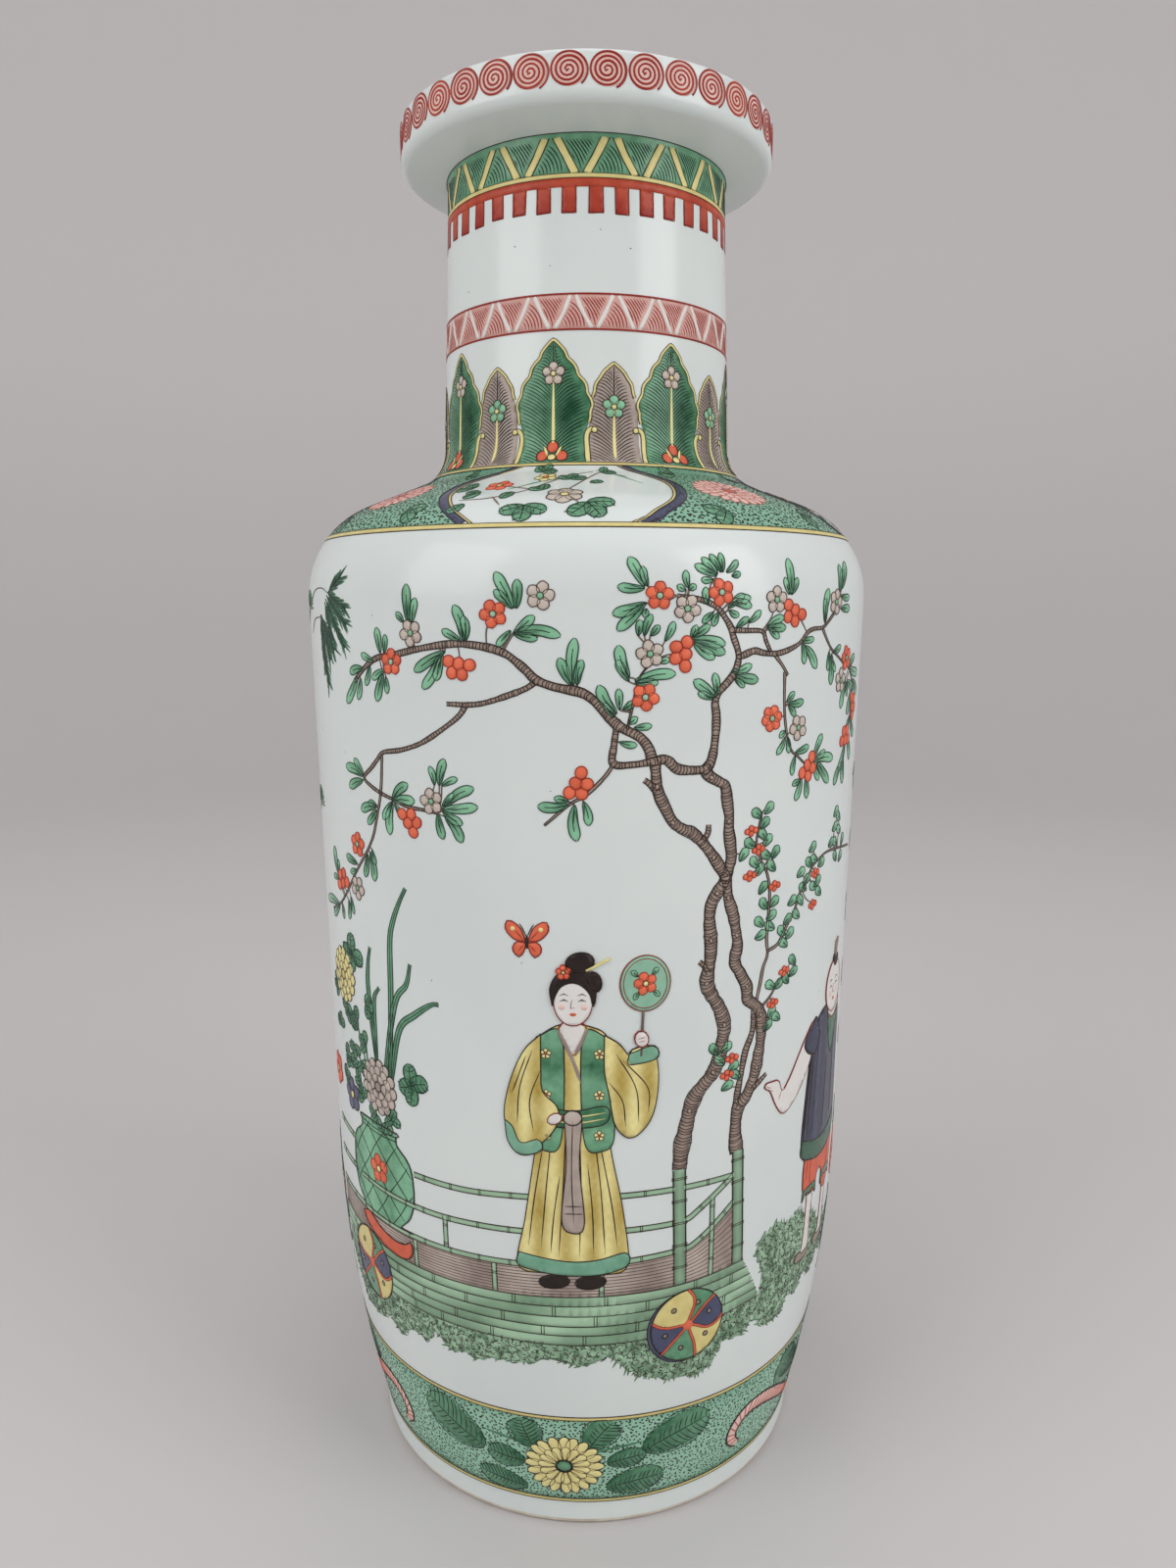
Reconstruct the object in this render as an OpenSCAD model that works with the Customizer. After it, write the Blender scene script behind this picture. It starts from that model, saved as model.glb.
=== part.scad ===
// Rouleau vase of glazed porcelain: a tall, nearly straight body on a low foot, a sloping
// shoulder, a slightly narrowing neck and a dished mouth. It is thrown in sections that are luted
// together with slip, then glazed inside and out and banded with overglaze enamels.
// The axis is Z, the standing ring lies on Z = 0 and the front faces -Y.

/* [Foot] */
// Outer radius of the plain foot band
foot_r = 79; // [72:0.5:86]
// Height of the plain foot band
foot_h = 8.5; // [6:0.5:16]
// Radius of the hollow between the foot band and the lower curve
foot_hollow = 12; // [4:0.5:18]
// Width of the standing ring
foot_w = 9; // [7:0.5:14]
// Chamfer on both edges of the standing ring
foot_chamfer = 1.2; // [0.6:0.1:2]
// Height of the bare edge below the glaze
bare_h = 2.4; // [2.1:0.1:4]
// Depth of the recess under the base
recess_h = 7; // [5.5:0.5:10]
// Radius of the round in the corner of the recess
recess_round = 3; // [1:0.5:3]
// Thickness of the base
base_t = 9; // [6:0.5:14]
// Radius of the round between the floor and the inner wall
floor_round = 14; // [8:0.5:18]

/* [Body] */
// Height at which the lower curve runs into the wall
curve_h = 110; // [90:1:140]
// Height of the body up to the start of the shoulder
body_h = 306; // [260:1:360]
// Radius of the body at the start of the shoulder
body_r = 97.2; // [94:0.1:104]
// How much narrower the body is where the lower curve runs into the wall
wall_taper = 3.8; // [1:0.1:8]

/* [Shoulder] */
// Radius of the round that turns the wall into the shoulder
shoulder_round = 32; // [26:0.5:36]
// Fall of the shoulder from the neck outwards, in degrees
shoulder_fall = 22; // [14:0.5:30]

/* [Neck] */
// Outer radius of the neck at its foot
neck_r = 49.4; // [44:0.1:54]
// How much narrower the outside of the neck is at the mouth, around its straight bore
neck_taper = 2.7; // [0.5:0.1:3]
// Length of the neck
neck_h = 85.55; // [74:0.05:112]
// Radius of the hollow between the shoulder and the neck
neck_hollow = 14; // [10:0.5:18]

/* [Mouth] */
// Outer radius of the upright rim
rim_r = 62.3; // [58:0.1:70]
// Height of the upright rim
rim_h = 10.4; // [8:0.2:16]
// Radius of the round under the rim
rim_round = 3.4; // [2:0.1:4.5]
// Rise of the underside of the mouth from the neck outwards, in degrees
mouth_rise = 12; // [8:0.5:30]
// Radius of the hollow between the neck and the mouth
mouth_hollow = 1.2; // [0.8:0.1:4]
// Radius of the corner inside the mouth
dish_round = 3; // [1.5:0.1:4]
// Radius of the rounded edges of the lip
lip_round = 1.5; // [0.8:0.1:2.2]

/* [Walls] */
// Thickness of the glazed wall
wall_t = 6; // [4.5:0.1:7.5]
// Thickness of the glaze
glaze_t = 0.4; // [0.2:0.05:0.8]
// Thickness of the slip in a luted seam
slip_t = 1; // [0.5:0.1:2]

/* [Seams] */
// Height of the base seam above the foot band
base_seam_h = 29; // [26:0.5:40]
// Height of the waist seam above the lower curve
waist_seam_h = 68; // [20:1:110]
// Depth of the shoulder seam below the start of the shoulder
shoulder_seam_h = 5; // [2:0.5:12]
// Height of the neck seam above the hollow of the neck
neck_seam_h = 4; // [2:0.5:10]
// Depth of the mouth seam below the hollow of the mouth
mouth_seam_h = 4; // [2:0.5:10]

/* [Enamels] */
// Thickness of the overglaze enamels
enamel_t = 0.25; // [0.1:0.05:0.5]
// Width of the yellow lines
line_w = 1.3; // [0.8:0.1:2]
// Diameter of a spiral on the rim
spiral_d = 9.4; // [6:0.2:10]
// Gap between two spirals
spiral_gap = 1.7; // [0.6:0.1:4]

/* [Neck enamels] */
// Height of the green zigzag band below the hollow of the mouth
zigzag_h = 10.2; // [6:0.2:13]
// Height of the red bar below it
bar_h = 2.6; // [1.5:0.1:4]
// Length of a red tooth below the bar
tooth_h = 7.2; // [4:0.2:9]
// Width of a red tooth
tooth_w = 4.1; // [3:0.1:6]
// Gap between two red teeth
tooth_gap = 3.8; // [3:0.1:6]
// Height of the hatched red band
red_band_h = 10.4; // [6:0.2:12]
// Gap between the leaf tips and the hatched red band
red_band_gap = 3.2; // [1:0.1:5]
// Number of tall leaves around the neck
leaf_count = 8; // [6:1:10]
// Height of a tall leaf
leaf_h = 37; // [28:0.5:42]
// Width of a tall leaf
leaf_w = 23; // [18:0.5:24]
// Height of a short leaf
short_leaf_h = 30.5; // [20:0.5:34]
// Gap between neighbouring leaves
leaf_gap = 0.6; // [0.3:0.1:1.5]
// How far round the hollow of the neck the leaves start, in degrees
leaf_start = 50; // [30:1:60]

/* [Shoulder enamels] */
// How far round the shoulder the lower line lies, in degrees
shoulder_line_a = 37; // [25:1:50]
// Number of white panels around the shoulder
panel_count = 4; // [3:1:5]
// Half width of a panel at its narrow ends, in degrees
panel_end_a = 13; // [10:0.5:18]
// How much the sides of a panel swell, in degrees
panel_swell_a = 14; // [5:0.5:16]
// Turn of the first panel from the front, in degrees
panel_turn = -6; // [-20:1:20]
// Width of the blue frame of a panel
frame_w = 2; // [1.2:0.1:3]

/* [Border enamels] */
// Height of the lower border above the foot band
border_h = 35.5; // [28:0.5:60]
// Number of arched frames around the lower border
arch_count = 2; // [2:1:3]
// Half width of an arched frame
arch_w = 58; // [46:1:66]
// Height of an arched frame
arch_h = 24; // [18:0.5:26]
// Width of the band of an arched frame
arch_band = 4.4; // [3:0.2:6]

/* [Hidden] */
$fn = 180;

// Longest turn and longest chord of one step along a curve
curve_step_a = 4;
curve_step = 3;

function direction(a) = [cos(a), sin(a)];
function reversed(list) = [for (i = [len(list) - 1 : -1 : 0]) list[i]];
function without_last(list) = [for (i = [0 : len(list) - 2]) list[i]];

// Points along an arc whose radius k is negative where the surface is hollow, moved out by d
function arc(c, k, d, a0, a1) =
    let (turn = abs(a1 - a0), chords = turn * PI / 180 * abs(k) / curve_step)
    let (n = max(1, ceil(turn / curve_step_a), ceil(chords)))
    [for (i = [0 : n]) c + (k + d) * direction(a0 + (a1 - a0) * i / n)];

// Wall of the body, from the end of the lower curve to the start of the shoulder
curve_r = body_r - wall_taper;
wall_start = [curve_r, curve_h];
wall_end = [body_r, body_h];
wall_a = -atan2(wall_taper, body_h - curve_h);
function wall_at(z, d) =
    wall_start + (wall_end - wall_start) * (z - curve_h) / (body_h - curve_h) + d * direction(wall_a);

// Lower curve, tangent to the wall, that would meet the foot band at its top
foot_top = [foot_r, foot_h];
foot_drop = wall_start - foot_top;
lower_r = (foot_drop * foot_drop) / (2 * foot_drop * direction(wall_a));
lower_c = wall_start - lower_r * direction(wall_a);
function lower_a(z) = asin((z - lower_c.y) / lower_r);

// Hollow that blends the foot band into the lower curve
foot_hollow_x = foot_r + foot_hollow;
foot_hollow_z = lower_c.y - sqrt((lower_r + foot_hollow) ^ 2 - (foot_hollow_x - lower_c.x) ^ 2);
foot_hollow_c = [foot_hollow_x, foot_hollow_z];
foot_hollow_a = atan2(foot_hollow_c.y - lower_c.y, foot_hollow_c.x - lower_c.x);

// Shoulder round, straight fall and hollow at the neck
fall_a = 90 - shoulder_fall;
shoulder_c = wall_end - shoulder_round * direction(wall_a);
fall_start = shoulder_c + shoulder_round * direction(fall_a);
neck_hollow_x = neck_r + neck_hollow;
neck_z = fall_start.y + (neck_hollow - (neck_hollow_x - fall_start.x) * cos(fall_a)) / sin(fall_a);
neck_hollow_c = [neck_hollow_x, neck_z];

// Neck, which leans inwards up to the mouth around a straight bore
bore_r = neck_r - wall_t;
neck_a = atan2(neck_taper, neck_h);
neck_start = neck_hollow_c - neck_hollow * direction(neck_a);
function neck_at(z, d) =
    [neck_start.x - (z - neck_start.y) * tan(neck_a), z] + d * direction(neck_a);

// Underside of the mouth, upright rim and rounded lip
rise_a = mouth_rise - 90;
mouth_z = neck_z + neck_h;
mouth_hollow_c = neck_at(mouth_z, mouth_hollow);
rim_c_x = rim_r - rim_round;
mouth_reach = rim_c_x - mouth_hollow_c.x;
rim_z = mouth_hollow_c.y + (mouth_hollow + rim_round + mouth_reach * sin(mouth_rise)) / cos(mouth_rise);
rim_c = [rim_c_x, rim_z];
total_h = rim_z + rim_h;
lip_mid_x = rim_r - wall_t / 2;
lip_z = total_h - lip_round;
lip_out_c = [rim_r - lip_round, lip_z];
lip_in_c = [rim_r - wall_t + lip_round, lip_z];

// Corner between the bore and the dish, whose floor lies one wall above the underside
dish_hollow = mouth_hollow + wall_t;
dish_hollow_c = mouth_hollow_c + (bore_r + dish_hollow - mouth_hollow_c.x) * [1, tan(mouth_rise)];

// Corner inside the mouth, at equal distance from the dish and the inside of the rim
dish_share = (direction(rise_a) + direction(0)) / (1 + direction(rise_a) * direction(0));
dish_c = rim_c + (rim_round - wall_t - dish_round) * dish_share;

// Floor, and the round that meets the inside of the lower curve
floor_z = recess_h + base_t;
floor_round_z = floor_z + floor_round;
floor_reach = lower_r - wall_t - floor_round;
floor_c = [lower_c.x + sqrt(floor_reach ^ 2 - (floor_round_z - lower_c.y) ^ 2), floor_round_z];
floor_a = atan2(floor_c.y - lower_c.y, floor_c.x - lower_c.x);

// Luted seams
base_seam_a = lower_a(foot_h + base_seam_h);
base_slip_a = slip_t / lower_r * 180 / PI / 2;
waist_seam_z = curve_h + waist_seam_h;
shoulder_seam_z = body_h - shoulder_seam_h;
neck_seam_z = neck_z + neck_seam_h;
mouth_seam_z = mouth_z - mouth_seam_h;

// Outer surface of each section at a distance d from the glazed surface, from the foot up
function foot_path(d) = concat(
    arc(foot_hollow_c, -foot_hollow, d, 0, foot_hollow_a),
    arc(lower_c, lower_r, d, foot_hollow_a, base_seam_a - base_slip_a)
);
function base_seam_path(d) = arc(lower_c, lower_r, d, base_seam_a - base_slip_a, base_seam_a + base_slip_a);
function lower_path(d) = concat(
    arc(lower_c, lower_r, d, base_seam_a + base_slip_a, wall_a),
    [wall_at(waist_seam_z - slip_t / 2, d)]
);
function wall_seam_path(z, d) = [wall_at(z - slip_t / 2, d), wall_at(z + slip_t / 2, d)];
function upper_path(d) = [
    wall_at(waist_seam_z + slip_t / 2, d), wall_at(shoulder_seam_z - slip_t / 2, d)
];
function shoulder_path(d) = concat(
    [wall_at(shoulder_seam_z + slip_t / 2, d)],
    arc(shoulder_c, shoulder_round, d, wall_a, fall_a),
    arc(neck_hollow_c, -neck_hollow, d, fall_a, neck_a),
    [neck_at(neck_seam_z - slip_t / 2, d)]
);
function neck_band_path(z0, z1, d) = [neck_at(z0, d), neck_at(z1, d)];
function neck_path(d) = neck_band_path(neck_seam_z + slip_t / 2, mouth_seam_z - slip_t / 2, d);
function mouth_path(d) = concat(
    [neck_at(mouth_seam_z + slip_t / 2, d)],
    arc(mouth_hollow_c, -mouth_hollow, d, neck_a, rise_a),
    arc(rim_c, rim_round, d, rise_a, 0),
    arc(lip_out_c, lip_round, d, 0, 90),
    [[lip_mid_x, total_h + d]]
);

// Inner surface of the base, the shoulder, the neck and the mouth, moved outwards into the wall by d
function floor_path(d) = concat(
    [[0, floor_z - d]],
    arc(floor_c, floor_round, d, -90, floor_a),
    arc(lower_c, lower_r - wall_t, d, floor_a, base_seam_a - base_slip_a)
);
function shoulder_in_path(d) = concat(
    [wall_at(shoulder_seam_z + slip_t / 2, d - wall_t)],
    arc(shoulder_c, shoulder_round - wall_t, d, wall_a, fall_a),
    arc(neck_hollow_c, -neck_hollow - wall_t, d, fall_a, 0),
    [[bore_r + d, neck_seam_z - slip_t / 2]]
);
function bore_path(z0, z1, d) = [[bore_r + d, z0], [bore_r + d, z1]];
function dish_path(d) = concat(
    [[bore_r + d, mouth_seam_z + slip_t / 2]],
    arc(dish_hollow_c, -dish_hollow, d, 0, rise_a),
    arc(dish_c, dish_round, d, rise_a, 0),
    arc(lip_in_c, -lip_round, d, 0, -90),
    [[lip_mid_x, total_h - d]]
);

// Recess under the base, moved down into the open by d
recess_r = foot_r - foot_w;
recess_c = [recess_r - recess_round, recess_h - recess_round];
function recess_path(d) = concat(
    [[recess_r - d, bare_h]],
    arc(recess_c, -recess_round, d, 180, 270),
    [[0, recess_h - d]]
);

// Faces of the clay under the glaze
clay_out = -glaze_t;
clay_in = glaze_t - wall_t;

module turned(outer, inner) rotate_extrude() polygon(concat(outer, reversed(inner)));

module base_section() {
    outer_r = foot_r - glaze_t;
    inner_r = recess_r + glaze_t;
    standing_ring = [
        [inner_r, foot_chamfer], [inner_r + foot_chamfer, 0],
        [outer_r - foot_chamfer, 0], [outer_r, foot_chamfer]
    ];
    outside = concat(reversed(recess_path(-glaze_t)), standing_ring, foot_path(clay_out));
    color("white") turned(outside, floor_path(glaze_t));
}

module lower_body() color("white") turned(lower_path(clay_out), lower_path(clay_in));

module upper_body() color("white") turned(upper_path(clay_out), upper_path(clay_in));

module shoulder() color("white") turned(shoulder_path(clay_out), shoulder_in_path(glaze_t));

module neck() color("white")
    turned(neck_path(clay_out), bore_path(neck_seam_z + slip_t / 2, mouth_seam_z - slip_t / 2, glaze_t));

module mouth() color("white") turned(mouth_path(clay_out), without_last(dish_path(glaze_t)));

module base_seam() color("gainsboro") turned(base_seam_path(clay_out), base_seam_path(clay_in));

module waist_seam()
    color("gainsboro") turned(wall_seam_path(waist_seam_z, clay_out), wall_seam_path(waist_seam_z, clay_in));

module shoulder_seam() color("gainsboro")
    turned(wall_seam_path(shoulder_seam_z, clay_out), wall_seam_path(shoulder_seam_z, clay_in));

module neck_slip(z) color("gainsboro")
    turned(neck_band_path(z - slip_t / 2, z + slip_t / 2, clay_out),
           bore_path(z - slip_t / 2, z + slip_t / 2, glaze_t));

module neck_seam() neck_slip(neck_seam_z);

module mouth_seam() neck_slip(mouth_seam_z);

// The whole outside, from the bare edge of the foot to the top of the lip
function outside_path(d) = concat(
    [[foot_r + d, bare_h]], foot_path(d), lower_path(d), upper_path(d), shoulder_path(d),
    neck_path(d), mouth_path(d)
);

// The whole inside, from the middle of the floor to the top of the lip
function inside_path(d) = concat(
    floor_path(d), lower_path(d - wall_t), upper_path(d - wall_t), shoulder_in_path(d), dish_path(d)
);

module outer_glaze() color("ghostwhite") turned(outside_path(0), outside_path(-glaze_t));

module inner_glaze() color("ghostwhite") turned(inside_path(glaze_t), inside_path(0));

module base_glaze() color("ghostwhite") turned(recess_path(-glaze_t), recess_path(0));

// A coat of enamel along a stretch of the neck
module neck_coat(z0, z1) turned(neck_band_path(z0, z1, enamel_t), neck_band_path(z0, z1, 0));

// Repeats its children around the axis, the first one at the front
module around(count, turn) for (i = [0 : count - 1]) rotate(turn + i * 360 / count) children();

// An outline that faces the front, cut through the depth from radius r0 to r1
module facing_front(r0, r1) translate([0, -r0, 0]) rotate([90, 0, 0]) linear_extrude(r1 - r0) children();

// Spirals on the upright face of the rim
spiral_count = floor(2 * PI * rim_r / (spiral_d + spiral_gap));
spiral_z = (rim_z + total_h) / 2;
function rim_path(d) = [[rim_r + d, rim_z], [rim_r + d, lip_z]];

module rim_spirals() {
    color("firebrick") intersection() {
        turned(rim_path(enamel_t), rim_path(0));
        around(spiral_count, 0) facing_front(rim_r - wall_t, rim_r + wall_t)
            translate([0, spiral_z]) circle(d = spiral_d);
    }
}

// Bands under the mouth, from the top down
zigzag_z = mouth_z - zigzag_h;
upper_line_z = zigzag_z - line_w;
bar_z = upper_line_z - bar_h;
tooth_z = bar_z - tooth_h;
tooth_r = neck_at(bar_z, 0).x;
tooth_count = floor(2 * PI * tooth_r / (tooth_w + tooth_gap));
tooth_space = 2 * PI * tooth_r / tooth_count - tooth_w;

function zigzag_path(d) = concat(
    [neck_at(zigzag_z, d)], arc(mouth_hollow_c, -mouth_hollow, d, neck_a, rise_a)
);
module neck_zigzag_band() color("seagreen") turned(zigzag_path(enamel_t), zigzag_path(0));

module neck_upper_line() color("khaki") neck_coat(upper_line_z, zigzag_z);

module neck_red_teeth() {
    color("firebrick") difference() {
        neck_coat(tooth_z, upper_line_z);
        around(tooth_count, 180 / tooth_count) facing_front(neck_r - wall_t, neck_r + wall_t)
            translate([-tooth_space / 2, tooth_z - bar_h]) square([tooth_space, tooth_h + bar_h]);
    }
}

// Leaves that stand on the hollow of the neck
leaf_a = leaf_start - line_w / neck_hollow * 180 / PI;
leaf_z = neck_hollow_c.y - neck_hollow * sin(leaf_a);
leaf_pitch = 2 * PI * neck_r / leaf_count;
short_leaf_w = leaf_pitch - leaf_w - 2 * leaf_gap;
red_band_z = leaf_z + leaf_h + red_band_gap;

module neck_red_band() color("indianred") neck_coat(red_band_z, red_band_z + red_band_h);

function leaf_path(d) = concat(
    arc(neck_hollow_c, -neck_hollow, d, leaf_start, neck_a), [neck_at(leaf_z + leaf_h, d)]
);

// Half outline of a leaf: straight sides below, then a shallow ogee up to the tip
leaf_steps = 12;
leaf_shaft = 0.42;
function leaf_half(w, h, side) = [
    for (i = [0 : leaf_steps])
        let (t = i / leaf_steps) [side * w / 2 * cos(90 * t) ^ 0.8, h * (leaf_shaft + (1 - leaf_shaft) * t)]
];
module leaf(w, h) polygon(concat(
    [[-w / 2, 0], [w / 2, 0]], leaf_half(w, h, 1), reversed(without_last(leaf_half(w, h, -1)))
));

module leaves(w, h, turn) {
    intersection() {
        turned(leaf_path(enamel_t), leaf_path(0));
        around(leaf_count, turn) facing_front(neck_r - wall_t, neck_r + neck_hollow)
            translate([0, leaf_z]) leaf(w, h);
    }
}

leaf_turn = -12;
module neck_green_leaves() color("darkgreen") leaves(leaf_w, leaf_h, leaf_turn);

module neck_aubergine_leaves()
    color("rosybrown") leaves(short_leaf_w, short_leaf_h, leaf_turn + 180 / leaf_count);

function neck_line_path(d) = arc(neck_hollow_c, -neck_hollow, d, leaf_start, leaf_a);
module neck_lower_line() color("khaki") turned(neck_line_path(enamel_t), neck_line_path(0));

// Shoulder enamels, between the lower line and the line at the foot of the neck
shoulder_line_turn = line_w / shoulder_round * 180 / PI;
ground_a = shoulder_line_a + shoulder_line_turn;
function ground_path(d) = concat(
    arc(shoulder_c, shoulder_round, d, ground_a, fall_a),
    arc(neck_hollow_c, -neck_hollow, d, fall_a, leaf_start)
);
function shoulder_line_path(d) = arc(shoulder_c, shoulder_round, d, shoulder_line_a, ground_a);

// Side of a white panel, seen from above: radius and half angle from its outer to its inner end
panel_outer_r = shoulder_c.x + shoulder_round * cos(shoulder_line_a);
panel_inner_r = neck_r - wall_t;
panel_steps = 16;
panel_bow = 1.6;
panel_reach = panel_outer_r + wall_t - panel_inner_r;
function panel_side(side, extra) = [
    for (i = [0 : panel_steps])
        let (t = i / panel_steps, r = panel_inner_r + panel_reach * (1 - t))
        let (a = panel_end_a + panel_swell_a * abs(sin(180 * t)) ^ panel_bow + extra / r * 180 / PI)
        r * direction(side * a - 90)
];
module panel_plan(extra) polygon(concat(panel_side(1, extra), reversed(panel_side(-1, extra))));
module panels(extra) {
    around(panel_count, panel_turn) translate([0, 0, body_h]) linear_extrude(neck_h) panel_plan(extra);
}

module shoulder_ground() {
    color("mediumseagreen") difference() {
        turned(ground_path(enamel_t), ground_path(0));
        panels(frame_w);
    }
}

module shoulder_frames() {
    color("midnightblue") intersection() {
        turned(ground_path(enamel_t), ground_path(0));
        difference() {
            panels(frame_w);
            panels(0);
        }
    }
}

module shoulder_line() color("khaki") turned(shoulder_line_path(enamel_t), shoulder_line_path(0));

// Lower border, between two yellow lines, from the end of the hollow above the foot band
border_z = lower_c.y + lower_r * sin(foot_hollow_a);
border_low = border_z + line_w;
border_high = border_z + border_h;
function border_path(z0, z1, d) = arc(lower_c, lower_r, d, lower_a(z0), lower_a(z1));
module border_coat(z0, z1) turned(border_path(z0, z1, enamel_t), border_path(z0, z1, 0));

module border_upper_line() color("khaki") border_coat(border_high, border_high + line_w);

module border_lower_line() color("khaki") border_coat(border_z, border_low);

// Arched frames that stand on the lower line of the border
arch_steps = 24;
function arch_outline(inset) = concat(
    [[inset - arch_w, -line_w], [arch_w - inset, -line_w]],
    [
        for (i = [0 : arch_steps])
            let (a = 180 * i / arch_steps) [(arch_w - inset) * cos(a), (arch_h - inset) * sin(a)]
    ]
);
module arches(inset) {
    around(arch_count, panel_turn + 180 / arch_count) facing_front(foot_w, body_r)
        translate([0, border_low]) polygon(arch_outline(inset));
}

module arch_bands() {
    difference() {
        arches(0);
        arches(arch_band);
    }
}

module border_ground() {
    color("mediumseagreen") difference() {
        border_coat(border_low, border_high);
        arch_bands();
    }
}

module border_frames() {
    color("lightpink") intersection() {
        border_coat(border_low, border_high);
        arch_bands();
    }
}

base_section();
lower_body();
upper_body();
shoulder();
neck();
mouth();
base_seam();
waist_seam();
shoulder_seam();
neck_seam();
mouth_seam();
outer_glaze();
inner_glaze();
base_glaze();
rim_spirals();
neck_zigzag_band();
neck_upper_line();
neck_red_teeth();
neck_red_band();
neck_green_leaves();
neck_aubergine_leaves();
neck_lower_line();
shoulder_ground();
shoulder_frames();
shoulder_line();
border_upper_line();
border_ground();
border_frames();
border_lower_line();
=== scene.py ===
"""A tall rouleau vase of white porcelain, painted over the glaze in enamels.

Spirals run round the rim, bands and upright leaves round the neck, flowered panels on a stippled
ground round the shoulder, blossoming trees and a railed terrace round the body, and a flowered
border above the foot. Lengths are millimetres and the front faces -Y. A place on the vase is an
angle in degrees, 0 at the front and growing to the right, and a height.
"""

import math

import bpy
import numpy as np
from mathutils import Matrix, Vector
from mathutils.geometry import delaunay_2d_cdt


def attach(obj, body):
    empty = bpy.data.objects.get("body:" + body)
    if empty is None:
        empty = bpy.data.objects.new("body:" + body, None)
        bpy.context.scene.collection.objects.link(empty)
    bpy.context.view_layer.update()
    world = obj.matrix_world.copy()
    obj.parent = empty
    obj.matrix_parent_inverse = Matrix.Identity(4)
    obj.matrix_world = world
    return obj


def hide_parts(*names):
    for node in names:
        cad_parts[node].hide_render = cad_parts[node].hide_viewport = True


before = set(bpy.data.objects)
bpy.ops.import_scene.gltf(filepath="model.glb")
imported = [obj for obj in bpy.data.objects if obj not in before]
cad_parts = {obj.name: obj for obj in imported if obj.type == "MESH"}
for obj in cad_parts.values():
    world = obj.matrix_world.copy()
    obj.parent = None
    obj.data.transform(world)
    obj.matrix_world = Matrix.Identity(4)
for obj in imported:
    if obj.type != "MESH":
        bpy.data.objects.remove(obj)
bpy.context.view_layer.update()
chance = np.random.default_rng(11)
MM = 0.001

# Foot and base
foot_r = 79
foot_h = 8.5
foot_hollow = 12
foot_w = 9
bare_h = 2.4
recess_h = 7
recess_round = 3
base_t = 9
floor_round = 14

# Body and shoulder
curve_h = 110
body_h = 306
body_r = 97.2
wall_taper = 3.8
shoulder_round = 32
shoulder_fall = math.radians(22)

# Neck and mouth
neck_r = 49.4
neck_taper = 2.7
neck_h = 85.55
neck_hollow = 14
rim_r = 62.3
rim_h = 10.4
rim_round = 3.4
mouth_rise = math.radians(12)
mouth_hollow = 1.2
dish_round = 3
lip_round = 1.5

# Walls
wall_t = 6
glaze_t = 0.4
lathe_steps = 288


def direction(a):
    return np.array([math.cos(a), math.sin(a)])


def arc(centre, k, d, a0, a1, chord=2.0):
    """Points along an arc, its radius k negative where the surface is hollow, moved out by d."""
    turn = abs(a1 - a0)
    steps = max(2, math.ceil(turn / math.radians(5)), math.ceil(turn * abs(k) / chord))
    return [centre + (k + d) * direction(a0 + (a1 - a0) * i / steps) for i in range(steps + 1)]


# Outline of the vase: wall, lower curve and the hollow above the foot band
wall_start = np.array([body_r - wall_taper, curve_h])
wall_end = np.array([body_r, body_h])
wall_a = -math.atan2(wall_taper, body_h - curve_h)
foot_drop = wall_start - (foot_r, foot_h)
lower_r = foot_drop @ foot_drop / (2 * foot_drop @ direction(wall_a))
lower_c = wall_start - lower_r * direction(wall_a)
foot_hollow_x = foot_r + foot_hollow
foot_hollow_reach = math.sqrt((lower_r + foot_hollow) ** 2 - (foot_hollow_x - lower_c[0]) ** 2)
foot_hollow_c = np.array([foot_hollow_x, lower_c[1] - foot_hollow_reach])
foot_hollow_a = math.atan2(foot_hollow_c[1] - lower_c[1], foot_hollow_c[0] - lower_c[0])

# Shoulder round, straight fall and the hollow at the neck
fall_a = math.pi / 2 - shoulder_fall
shoulder_c = wall_end - shoulder_round * direction(wall_a)
fall_start = shoulder_c + shoulder_round * direction(fall_a)
neck_reach = (neck_r + neck_hollow - fall_start[0]) * math.cos(fall_a)
neck_z = fall_start[1] + (neck_hollow - neck_reach) / math.sin(fall_a)
neck_hollow_c = np.array([neck_r + neck_hollow, neck_z])

# Neck, which leans inwards up to the mouth around a straight bore
bore_r = neck_r - wall_t
neck_a = math.atan2(neck_taper, neck_h)
neck_start = neck_hollow_c - neck_hollow * direction(neck_a)
mouth_z = neck_z + neck_h
neck_end = np.array([neck_start[0] - (mouth_z - neck_start[1]) * math.tan(neck_a), mouth_z])

# Underside of the mouth, upright rim and rounded lip
rise_a = mouth_rise - math.pi / 2
mouth_hollow_c = neck_end + mouth_hollow * direction(neck_a)
dish_hollow = mouth_hollow + wall_t
dish_way = bore_r + dish_hollow - mouth_hollow_c[0]
dish_hollow_c = mouth_hollow_c + dish_way * np.array([1, math.tan(mouth_rise)])
mouth_reach = rim_r - rim_round - mouth_hollow_c[0]
rim_rise = (mouth_hollow + rim_round + mouth_reach * math.sin(mouth_rise)) / math.cos(mouth_rise)
rim_c = np.array([rim_r - rim_round, mouth_hollow_c[1] + rim_rise])
total_h = rim_c[1] + rim_h
lip_z = total_h - lip_round
lip_out_c = np.array([rim_r - lip_round, lip_z])
lip_in_c = np.array([rim_r - wall_t + lip_round, lip_z])
lip_mid_x = rim_r - wall_t / 2
dish_share = (direction(rise_a) + direction(0)) / (1 + direction(rise_a) @ direction(0))
dish_c = rim_c + (rim_round - wall_t - dish_round) * dish_share

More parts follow.
